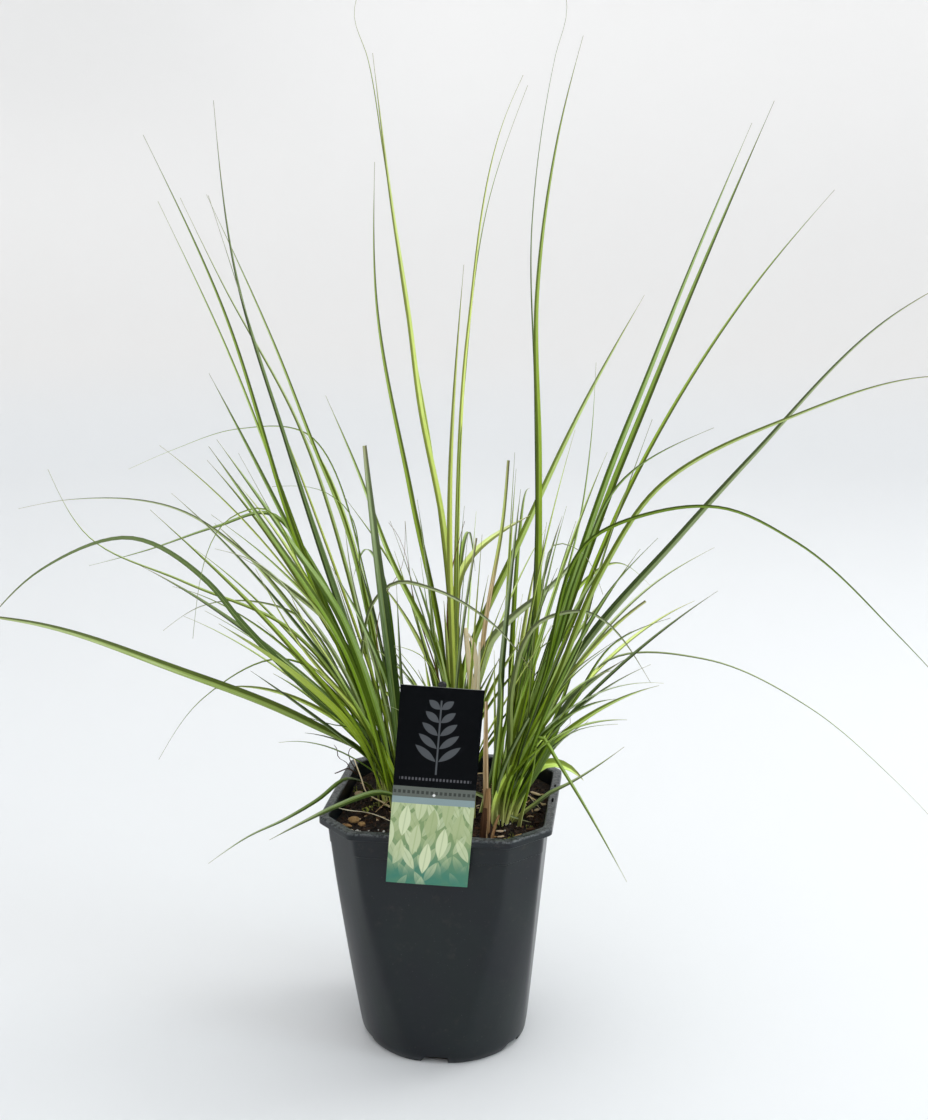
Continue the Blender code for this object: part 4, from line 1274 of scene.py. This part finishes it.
def leaf_surface():
    """A grass blade: pale at its foot, ribbed along its length, with a light midrib and a drying tip."""
    own = settings()
    finish = Finish("grass_blade", Specular_IOR_Level=0.12)
    along, reach, across, depth = finish.readings("along", "reach", "across", "depth")
    tone, shade, dry = finish.readings("tone", "shade", "dry")
    streak = finish.noise(finish.vector(across * 3.0, reach * 0.02, tone * 40.0), 1.0, 3.0, 0.6)
    patch = finish.noise(finish.vector(reach * 0.03, tone * 60.0, across * 0.3), 1.0, 3.0, 0.55)
    ribs = finish.maths("SINE", across * 26.0)
    middle = finish.blend(shade * 2.0, own.dark_leaf_colour, own.fresh_leaf_colour)
    middle = finish.blend(shade * 2.0 - 1.0, middle, own.pale_leaf_colour)
    deep = finish.blend(1.0, middle, own.deep_tint, "MULTIPLY")
    middle = finish.blend(finish.ease(tone, -0.1, -1.0), middle, deep)
    bloom = finish.ease(tone, 0.1, 1.0) * 0.75 + finish.ease(along, 0.35, 1.0) * 0.5
    middle = finish.blend(finish.clamp(bloom), middle, own.grey_leaf_colour)
    young = finish.blend(0.1 + shade * 0.6, middle, own.young_leaf_colour)
    colour = finish.blend(finish.ease(reach + (patch - 0.5) * 60.0, 20.0, 150.0), young, middle)
    colour = finish.blend(finish.ease(reach + (streak - 0.5) * 24.0, 30.0, 5.0), colour, own.sheath_colour)
    ended = finish.ease(along + (patch - 0.5) * 0.16 + tone * 0.03, 0.84, 1.04)
    colour = finish.blend(ended * 0.8, colour, own.tip_colour)
    # A blade is folded along its midrib: painted shade darkens one half and the other half is painted
    # lighter.
    half = finish.ease(across * finish.maths("SIGN", finish.maths("SINE", tone * 57.0)), -0.25, 0.25)
    own_light = 1.0 + finish.maths("SINE", tone * 91.0) * 0.16
    # Its streaks are partly a streaked tone and partly painted highlights.
    light = (0.63 + streak * 0.64 + ribs * 0.07) * (0.44 + half * 0.98) * own_light
    colour = finish.blend(1.0, colour, finish.vector(light, light, light), "MULTIPLY")
    # The brightest streaks pale towards a painted sheen, a painted reflection of the pale surroundings.
    colour = finish.blend(finish.ease(light, 1.15, 1.9) * 0.45, colour, own.painted_sheen_colour)
    # Its underside and its far end are paler.
    under = finish.ease(depth, 0.3, -0.3) * 0.3 + finish.ease(along, 0.15, 0.85) * 0.6
    colour = finish.blend(under, colour, finish.blend(1.0, colour, (1.9, 1.8, 2.0), "MULTIPLY"))
    rib = finish.ease(abs(across), 0.15, 0.03) * finish.ease(along, 0.85, 0.5)
    colour = finish.blend(rib * 0.35, colour, own.rib_colour)
    browns = ((0.0, (0.040, 0.020, 0.011)), (0.25, (0.150, 0.072, 0.034)), (0.5, (0.42, 0.25, 0.11)))
    creams = ((0.72, (0.98, 0.78, 0.48)), (1.0, (1.0, 0.93, 0.70)))
    straw = finish.ramp(0.5 + tone * 0.5 + (streak - 0.5) * 0.9, *browns, *creams)
    colour = finish.blend(finish.ease(dry + (streak - 0.5) * 0.2, 0.35, 0.6), colour, straw)
    finish.set(Base_Color=colour, Roughness=0.45 + (streak - 0.5) * 0.2 + dry * 0.3)
    finish.set(Normal=finish.bump(ribs * 0.5 + streak, 0.0002, 0.6))
    return finish.material


def blade_sizes(material, **others):
    own = settings()
    sizes = {
        "spacing": own.station_spacing,
        "sides": BLADE_SIDES,
        "sheath_height": SHEATH_HEIGHT * MM,
        "sheath_width": SHEATH_HALF_WIDTH * MM,
        "sheath_depth": SHEATH_HALF_DEPTH * MM,
        "thickness": BLADE_HALF_DEPTH * MM,
        "fold": own.leaf_fold,
        "twist": own.leaf_twist,
        "material": material,
    }
    return {**sizes, **others}


def blade_piece(name, ribs, slot, *nodes, **others):
    growth = bpy.data.node_groups.get("Blade") or blade_growth()
    surface = bpy.data.materials.get("grass_blade") or leaf_surface()
    mesh = grow(name, rib_mesh(name + "_midribs", ribs), growth, **blade_sizes(surface, **others))
    return add_piece(name, mesh, slot, *nodes)


class GRASSPOT_OT_leaves(bpy.types.Operator):
    """Make the main leaves of the three tufts, each in the place of its solid"""

    bl_idname = "grasspot.leaves"
    bl_label = "Main leaves"

    def execute(self, context):
        for blade in LEFT_TUFT + MIDDLE_TUFT + RIGHT_TUFT:
            rib = leaf_rib(blade, random.Random(blade.name))
            blade_piece(blade.name + "_blade", [rib], blade.finish, blade.name)
        return {"FINISHED"}


class GRASSPOT_OT_fine_blades(bpy.types.Operator):
    """Make the thin wisps, the short blades that fill each tuft and the dead sheaths at their feet"""

    bl_idname = "grasspot.fine_blades"
    bl_label = "Fine blades"

    def execute(self, context):
        ribs = [leaf_rib(blade, random.Random(number)) for number, blade in enumerate(WISPS)]
        blade_piece("grass_wisps", ribs, FRESH, sheath_width=1.3 * MM, sheath_depth=0.8 * MM)
        for tuft in TUFTS:
            ribs = shoots(tuft, BLADE_SIZES, LOOKS[FRESH].dry)
            blade_piece(f"{tuft.name}_tuft_blades", ribs, FRESH, sheath_width=1.4 * MM, sheath_depth=0.9 * MM)
            upright = {"lean": SHEATH_LEAN, "fan": (0, 360), "length": SHEATH_LENGTH}
            sheaths = tuft._replace(seed=tuft.seed + 1, count=SHEATHS_PER_TUFT, **upright)
            ribs = shoots(sheaths, SHEATH_SIZES, LOOKS[DEAD].dry)
            blade_piece(f"{tuft.name}_tuft_sheaths", ribs, DEAD, sheath_width=1.8 * MM, sheath_depth=1.0 * MM)
        return {"FINISHED"}


# ---------------------------------------------------------------------------------------------------------
# The label
# ---------------------------------------------------------------------------------------------------------


def card_mesh():
    """A thin card with a slight bow. Its UV map runs over it, and its back and edges are other materials."""
    lean = math.radians(CARD_LEAN)
    up = Vector((math.sin(lean), 0, math.cos(lean)))
    across = Vector((math.cos(lean), 0, -math.sin(lean)))
    foot = Vector(CARD_FOOT)
    rows, columns = CARD_ROWS, CARD_COLUMNS
    points, faces, corners, sides = [], [], [], []
    for back in (0, 1):
        for row in range(rows + 1):
            share = row / rows
            centre = foot + up * (CARD_LENGTH * share)
            bow = CARD_BOW * (1 - (2 * share - 1) ** 2)
            for column in range(columns + 1):
                place = column / columns - 0.5
                curl = CARD_CURL * (2 * place) ** 2
                depth = bow - curl + (0.5 - back) * CARD_THICKNESS
                points.append(centre + across * (place * CARD_WIDTH) + Vector((0, -depth, 0)))
                corners.append((column / columns, share))
    count = (rows + 1) * (columns + 1)

    def at(back, row, column):
        return back * count + row * (columns + 1) + column

    for row in range(rows):
        for column in range(columns):
            low, high = at(0, row, column), at(0, row + 1, column)
            front = [low, low + 1, high + 1, high]
            faces.append(front)
            sides.append(0)
            faces.append([i + count for i in reversed(front)])
            sides.append(1)
    rim = [at(0, 0, c) for c in range(columns)] + [at(0, r, columns) for r in range(rows)]
    rim += [at(0, rows, c) for c in range(columns, 0, -1)] + [at(0, r, 0) for r in range(rows, 0, -1)]
    for i, start in enumerate(rim):
        end = rim[(i + 1) % len(rim)]
        faces.append([end, start, start + count, end + count])
        sides.append(2)
    mesh = mesh_of("label_card", points, faces)
    layer = mesh.uv_layers.new(name="UVMap")
    for loop in mesh.loops:
        layer.data[loop.index].uv = corners[loop.vertex_index]
    mesh.polygons.foreach_set("material_index", sides)
    mesh.shade_smooth()
    mesh.set_sharp_from_angle(angle=math.radians(40))
    return mesh


# The sprig's pairs of leaflets and their slope. Then the print's layers: their slope, how long and wide the
# place of each leaf is, and how strongly the layer shows.
SPRIG_PAIRS = 5
SPRIG_SLOPE = 38
PRINT_LAYERS = ((62, 19.0, 6.4, 0.55), (118, 22.0, 7.4, 0.8), (84, 26.0, 9.5, 1.0))


def sprig_mask(finish, x, y):
    """A plain sprig: a stem with pairs of slim leaflets."""
    mask = finish.ease(abs(x), 0.75, 0.45) * finish.ease(abs(y - 110.0), 27.0, 26.5)
    slope = math.radians(SPRIG_SLOPE)
    for pair in range(SPRIG_PAIRS):
        middle = 92.0 + 9.5 * pair
        reach = 10.5 - 1.2 * pair
        along = abs(x) * math.cos(slope) + (y - middle) * math.sin(slope) - reach
        off = (y - middle) * math.cos(slope) - abs(x) * math.sin(slope)
        leaflet = (along / (reach * 0.9)) ** 2 + abs(off) / 2.6
        mask = finish.most(mask, finish.ease(leaflet, 1.05, 0.9))
    return mask


def leafy_print(finish, x, y):
    """A generic print of overlapping pale lens-shaped leaves over a teal ground."""
    ground = finish.blend(finish.ease(y, 4.0, 40.0), (0.04, 0.20, 0.17), (0.28, 0.37, 0.17))
    cloud = finish.noise(finish.vector(x, y, 0.0), 0.12, 3.0)
    colour = finish.blend(cloud * 0.7, ground, (0.14, 0.26, 0.13))
    for layer, (slope, long, wide, strength) in enumerate(PRINT_LAYERS):
        turn = math.radians(slope)
        u = (x * math.cos(turn) + y * math.sin(turn)) / long + 0.37 * layer
        v = (y * math.cos(turn) - x * math.sin(turn)) / wide
        row = finish.maths("FLOOR", v)
        u = u + (row % 2.0) * 0.5
        cell = {"Vector": finish.vector(finish.maths("FLOOR", u), row, 0.0)}
        pick = finish.node("ShaderNodeTexWhiteNoise", {"noise_dimensions": "2D"}, cell)
        across = abs((v % 1.0) - 0.5) * 2.2
        along = abs((u % 1.0) - 0.5) * 2.1
        inside = finish.ease(across + along**2, 1.0, 0.86)
        tint = finish.blend(pick, (0.36, 0.44, 0.22), (0.64, 0.71, 0.47))
        tint = finish.blend(finish.ease(across, 0.16, 0.02) * 0.4, tint, (0.27, 0.38, 0.16))
        height = finish.ease(y + (pick - 0.5) * 40.0, 8.0, 34.0)
        colour = finish.blend(inside * strength * height, colour, tint)
    return colour


def label_print():
    """The card's front: a dark panel with a sprig, a grey band and a plain strip, and a leafy print."""
    finish = Finish("label_print", Specular_IOR_Level=0.03)
    u, v, _ = finish.parts(finish.uv())
    x = (u - 0.5) * CARD_WIDTH
    y = v * CARD_LENGTH
    grain = finish.noise(finish.vector(x, y, 0.0), 2.2, 2.0)
    black = finish.blend(grain * 0.5, (0.0025, 0.003, 0.004), (0.006, 0.007, 0.008))
    panel = finish.blend(sprig_mask(finish, x, y), black, (0.085, 0.092, 0.100))
    dots = finish.ease(abs((x / 2.4 % 1.0) - 0.5), 0.30, 0.24) * finish.ease(abs(y - 79.5), 1.1, 0.9)
    panel = finish.blend(dots * finish.ease(abs(x), 25.0, 24.7), panel, (0.10, 0.10, 0.11))
    marks = finish.ease(abs((x / 3.2 % 1.0) - 0.5), 0.32, 0.28) * finish.ease(abs(y - 69.6), 1.3, 1.1)
    band = finish.blend(marks, (0.125, 0.140, 0.125), (0.055, 0.060, 0.055))
    strip = finish.blend(grain, (0.23, 0.31, 0.32), (0.27, 0.35, 0.36))
    spot = finish.ease((x**2.0 + (y - 68.0) ** 2.0) ** 0.5, 1.15, 0.85)
    colour = finish.blend(y > PICTURE_HEIGHT, leafy_print(finish, x, y), strip)
    colour = finish.blend(y > STRIP_HEIGHT, colour, band)
    colour = finish.blend(y > BAND_HEIGHT, colour, panel)
    colour = finish.blend(spot, colour, (0.8, 0.8, 0.8))
    finish.set(Base_Color=colour, Roughness=0.38 + grain * 0.1)
    return finish.material


def card_stock(name, colour):
    finish = Finish(name, Specular_IOR_Level=0.4)
    fibre = finish.noise(finish.place(), 1.2, 4.0, 0.6)
    tone = finish.blend(fibre, tuple(c * 0.9 for c in colour), colour)
    finish.set(Base_Color=tone, Roughness=0.45 + fibre * 0.15)
    return finish.material


class GRASSPOT_OT_label(bpy.types.Operator):
    """Make the printed label and the stake that carries it"""

    bl_idname = "grasspot.label"
    bl_label = "Label and stake"

    def execute(self, context):
        front = label_print()
        back = card_stock("card_back", (0.62, 0.64, 0.60))
        edge = card_stock("card_edge", (0.40, 0.42, 0.38))
        add_piece("label_card_print", card_mesh(), "label_card", "label_card", materials=[front, back, edge])
        stake, plastic = stake_mesh(), stake_plastic()
        add_piece("label_stake_moulding", stake, "stake_plastic", "label_stake", materials=[plastic])
        return {"FINISHED"}


def stake_mesh():
    """A flat stake with a pointed foot and a small round knob."""
    head, foot = Vector(STAKE_HEAD), Vector(STAKE_FOOT)
    up = (head - foot).normalized()
    across = Vector((up.z, 0, -up.x)).normalized()
    out = across.cross(up)
    length = (head - foot).length
    profile = [(0.0, 0.2, 1.0), (2.0, 0.45, 1.0), (STAKE_POINT, 1.0, 1.0)]
    profile += [(at, 1.0, 1.0) for at in np.linspace(STAKE_POINT + 10, length - 9, 12)]
    profile += [(length - 5, 0.95, 1.0), (length - 2.4, 0.72, 0.9), (length - 1.4, 0.5, 0.95)]
    profile.append((length - 0.6, 0.72, 1.0))
    for share in (0.1, 0.3, 0.5, 0.7, 0.85, 1.0):
        bulge = math.sqrt(max(0.02, 1 - (1.6 * share - 0.6) ** 2))
        profile.append((length + STAKE_KNOB * share, 0.84 * bulge, 1.0))
    rings = []
    for along, wide, deep in profile:
        centre = foot + up * along
        ring = []
        for step in range(STAKE_SIDES):
            angle = math.tau * step / STAKE_SIDES
            a, b = (math.copysign(abs(c) ** STAKE_SQUARENESS, c) for c in (math.cos(angle), math.sin(angle)))
            aside, ahead = a * STAKE_WIDTH / 2 * wide, b * STAKE_THICKNESS / 2 * deep
            ring.append(centre + across * aside + out * ahead)
        rings.append(ring)
    mesh = closed_mesh("stake", rings)
    mesh.shade_smooth()
    mesh.set_sharp_from_angle(angle=math.radians(50))
    return mesh


def stake_plastic():
    finish = Finish("stake_plastic", Specular_IOR_Level=0.3)
    grain = finish.noise(finish.place(), 0.8, 4.0, 0.6)
    tone = finish.blend(grain, (0.010, 0.011, 0.012), (0.03, 0.03, 0.032))
    finish.set(Base_Color=tone, Roughness=0.4 + grain * 0.15)
    finish.set(Normal=finish.bump(grain, 0.00015, 0.5))
    return finish.material


# ---------------------------------------------------------------------------------------------------------
# The stage
# ---------------------------------------------------------------------------------------------------------

# In metres and degrees, fitted to the pot's rim and foot in the picture.
CAMERA_PLACE = (0.0, -1.036, 0.615)
CAMERA_PITCH = 13.226
CAMERA_YAW = 0.773
CAMERA_ROLL = 0.095
FOCAL_PIXELS = 1459.0
PHOTO_HEIGHT = 1120
SENSOR = 36.0
FLOOR_RADIUS = 2.7
COVE_RADIUS = 1.5
WALL_TOP = 5.0
COVE_SIDES = 96
COVE_STEPS = 12
# In millimetres: where the floor's colour has turned into the wall's, and between which heights the wall
# comes to glow evenly, as a lit backdrop does.
# The wall's glow is painted light: it gives off light of its own, as a lit backdrop would look.
WALL_BASE_HEIGHT = 250.0
WALL_GLOW_HEIGHTS = (100.0, 1500.0)
WALL_GLOW = 0.15
# This dimming is painted shade on the wall's painted glow.
# The wall is dimmer high up on the left: from where to where across it and up it, and by how much.
WALL_FADE_ACROSS = (100.0, -1300.0)
WALL_FADE_UP = (500.0, 1100.0)
WALL_FADE = 0.75


def make_camera():
    data = bpy.data.cameras.new("camera")
    data.sensor_fit = "AUTO"
    data.sensor_width = SENSOR
    data.lens = FOCAL_PIXELS * SENSOR / PHOTO_HEIGHT
    data.clip_start = 0.02
    data.clip_end = 60.0
    camera = add_object("camera", data)
    yaw = Matrix.Rotation(math.radians(-CAMERA_YAW), 4, "Z")
    pitch = Matrix.Rotation(math.radians(90 - CAMERA_PITCH), 4, "X")
    roll = Matrix.Rotation(math.radians(CAMERA_ROLL), 4, "Z")
    camera.matrix_world = Matrix.Translation(CAMERA_PLACE) @ yaw @ pitch @ roll
    bpy.context.scene.camera = camera


def make_light(name, place, aim, size, power, colour):
    data = bpy.data.lights.new(name, "AREA")
    data.shape = "DISK"
    data.size = size
    data.energy = power
    data.color = colour
    light = add_object(name, data)
    light.location = place
    light.rotation_euler = (Vector(aim) - Vector(place)).to_track_quat("-Z", "Y").to_euler()


def cove_mesh():
    """A round floor whose edge sweeps up into a wall."""
    profile = [(r, 0.0) for r in (0.0001, 0.3, 0.7, 1.2, 1.8, FLOOR_RADIUS)]
    for step in range(1, COVE_STEPS + 1):
        turn = math.radians(90 * step / COVE_STEPS)
        profile.append((FLOOR_RADIUS + COVE_RADIUS * math.sin(turn), COVE_RADIUS * (1 - math.cos(turn))))
    profile.append((FLOOR_RADIUS + COVE_RADIUS, WALL_TOP))
    count = COVE_SIDES
    points, faces = [], []
    for radius, height in profile:
        for step in range(count):
            angle = math.tau * step / count
            points.append((radius * math.cos(angle), radius * math.sin(angle), height))
    for row in range(len(profile) - 1):
        low, high = row * count, (row + 1) * count
        faces += [(high + (i + 1) % count, high + i, low + i, low + (i + 1) % count) for i in range(count)]
    mesh = bpy.data.meshes.new("cove")
    mesh.from_pydata(points, [], faces)
    mesh.shade_smooth()
    return mesh


class GRASSPOT_OT_stage(bpy.types.Operator):
    """Make the pale floor, the soft studio light and the camera"""

    bl_idname = "grasspot.stage"
    bl_label = "Stage"

    def execute(self, context):
        own = settings()
        make_camera()
        finish = Finish("studio_floor", Specular_IOR_Level=0.2, Roughness=0.75)
        tint = finish.noise(finish.place(), 0.002, 2.0)
        aside, _, up = finish.parts(finish.place())
        ground = finish.blend(tint, own.floor_colour, tuple(c * 0.985 for c in own.floor_colour))
        finish.set(Base_Color=finish.blend(finish.ease(up, 0.0, WALL_BASE_HEIGHT), ground, own.wall_colour))
        # The wall's glow is painted light, dimmed high up on the left by painted shade.
        faded = finish.ease(aside, *WALL_FADE_ACROSS) * finish.ease(up, *WALL_FADE_UP) * WALL_FADE
        lit = finish.ease(up, *WALL_GLOW_HEIGHTS) * (1.0 - faded)
        glow = finish.blend(lit, (0.0, 0.0, 0.0), (1.0, 0.99, 0.98))
        finish.set(Emission_Color=glow, Emission_Strength=WALL_GLOW)
        cove = add_object("studio_floor", cove_mesh())
        cove.data.materials.append(finish.material)
        make_light("key", (1.6, 0.5, 1.9), (0, 0, 0.25), 1.0, own.key_power, (1.0, 0.99, 0.97))
        make_light("fill", (2.1, -0.9, 0.7), (0, 0, 0.15), 1.0, own.fill_power, (0.84, 0.95, 1.0))
        make_light("top", (0.2, 0.3, 2.6), (0, 0, 0.2), 2.0, own.top_power, (1.0, 1.0, 1.0))
        world = context.scene.world or bpy.data.worlds.new("studio")
        context.scene.world = world
        world.use_nodes = True
        sky = world.node_tree.nodes.get("Background")
        if sky is None:
            sky = world.node_tree.nodes.new("ShaderNodeBackground")
            output = world.node_tree.nodes.new("ShaderNodeOutputWorld")
            world.node_tree.links.new(sky.outputs[0], output.inputs[0])
        sky.inputs[0].default_value = (1.0, 0.99, 0.985, 1.0)
        sky.inputs[1].default_value = own.sky_strength
        context.scene.view_settings.view_transform = "Standard"
        context.scene.view_settings.look = "None"
        return {"FINISHED"}


# ---------------------------------------------------------------------------------------------------------
# Settings, panel and registration
# ---------------------------------------------------------------------------------------------------------


def number_setting(name, description, default, **more):
    return FloatProperty(name=name, description=description, default=default, **more)


def colour_setting(name, description, default):
    more = {"subtype": "COLOR", "min": 0.0, "max": 1.0}
    return FloatVectorProperty(name=name, description=description, default=default, **more)


class GrassPotSettings(bpy.types.PropertyGroup):
    """Sizes and colours that a user would change"""

    pot_colour: colour_setting("Pot colour", "Plastic of the pot", (0.0060, 0.0085, 0.0120))
    pot_green_colour: colour_setting("Pot tint", "Greener areas of the plastic", (0.0065, 0.0110, 0.0125))
    pot_roughness: number_setting("Pot roughness", "How dull the pot is", 0.33, min=0.0, max=1.0)
    young_leaf_colour: colour_setting("Young leaf", "Leaf just above its sheath", (0.32, 0.50, 0.012))
    fresh_leaf_colour: colour_setting("Fresh leaf", "Leaf blade in its middle", (0.215, 0.32, 0.013))
    dark_leaf_colour: colour_setting("Dark leaf", "Older, darker leaf blade", (0.070, 0.120, 0.024))
    pale_leaf_colour: colour_setting("Pale leaf", "Yellow-green leaf blade", (0.50, 0.60, 0.10))
    grey_leaf_colour: colour_setting("Grey leaf", "Leaf with a grey bloom", (0.25, 0.305, 0.150))
    sheath_colour: colour_setting("Sheath", "The foot of a leaf", (0.50, 0.54, 0.16))
    deep_tint: colour_setting("Deep tint", "What the deepest leaves are multiplied by", (0.40, 0.56, 0.20))
    # The sheen is a painted reflection on the leaves' brightest streaks.
    painted_sheen_colour: colour_setting("Sheen", "What a leaf's brightest streaks pale to", (0.60, 0.66, 0.48))
    tip_colour: colour_setting("Tip", "The drying end of a leaf", (0.22, 0.20, 0.10))
    rib_colour: colour_setting("Midrib", "The line along a leaf's middle", (0.44, 0.54, 0.17))
    leaf_fold: number_setting("Fold", "How far a blade is folded along its midrib", 0.42, min=0.0, max=1.0)
    leaf_twist: number_setting("Twist", "How far a blade twists along its length", 0.25, unit="ROTATION")
    station_spacing: number_setting("Spacing", "Between a blade's cross-sections", 0.007, unit="LENGTH")
    floor_colour: colour_setting("Floor", "The pale floor", (0.800, 0.826, 0.848))
    wall_colour: colour_setting("Wall", "The backdrop above the floor", (0.825, 0.826, 0.826))
    key_power: number_setting("Key light", "Power of the light from the right", 11.5, unit="POWER")
    fill_power: number_setting("Fill light", "Power of the low light from the right", 13.0, unit="POWER")
    top_power: number_setting("Top light", "Power of the light overhead", 3.0, unit="POWER")
    sky_strength: number_setting("Sky", "Strength of the even light from all round", 1.13, min=0.0)


STEPS = (
    GRASSPOT_OT_stage,
    GRASSPOT_OT_pot,
    GRASSPOT_OT_soil,
    GRASSPOT_OT_litter,
    GRASSPOT_OT_label,
    GRASSPOT_OT_leaves,
    GRASSPOT_OT_fine_blades,
)


class GRASSPOT_PT_panel(bpy.types.Panel):
    """The steps that build the potted grass clump, in order"""

    bl_label = "Potted Grass"
    bl_idname = "GRASSPOT_PT_panel"
    bl_space_type = "VIEW_3D"
    bl_region_type = "UI"
    bl_category = "Potted Grass"

    def draw(self, context):
        for step in STEPS:
            self.layout.operator(step.bl_idname)
        for name in GrassPotSettings.__annotations__:
            self.layout.prop(context.scene.potted_grass, name)


CLASSES = (GrassPotSettings, *STEPS, GRASSPOT_PT_panel)


def register():
    for each in CLASSES:
        bpy.utils.register_class(each)
    bpy.types.Scene.potted_grass = PointerProperty(type=GrassPotSettings)


def unregister():
    del bpy.types.Scene.potted_grass
    for each in reversed(CLASSES):
        bpy.utils.unregister_class(each)


def main():
    register()
    for step in STEPS:
        area, name = step.bl_idname.split(".")
        getattr(getattr(bpy.ops, area), name)()


if __name__ == "__main__":
    main()
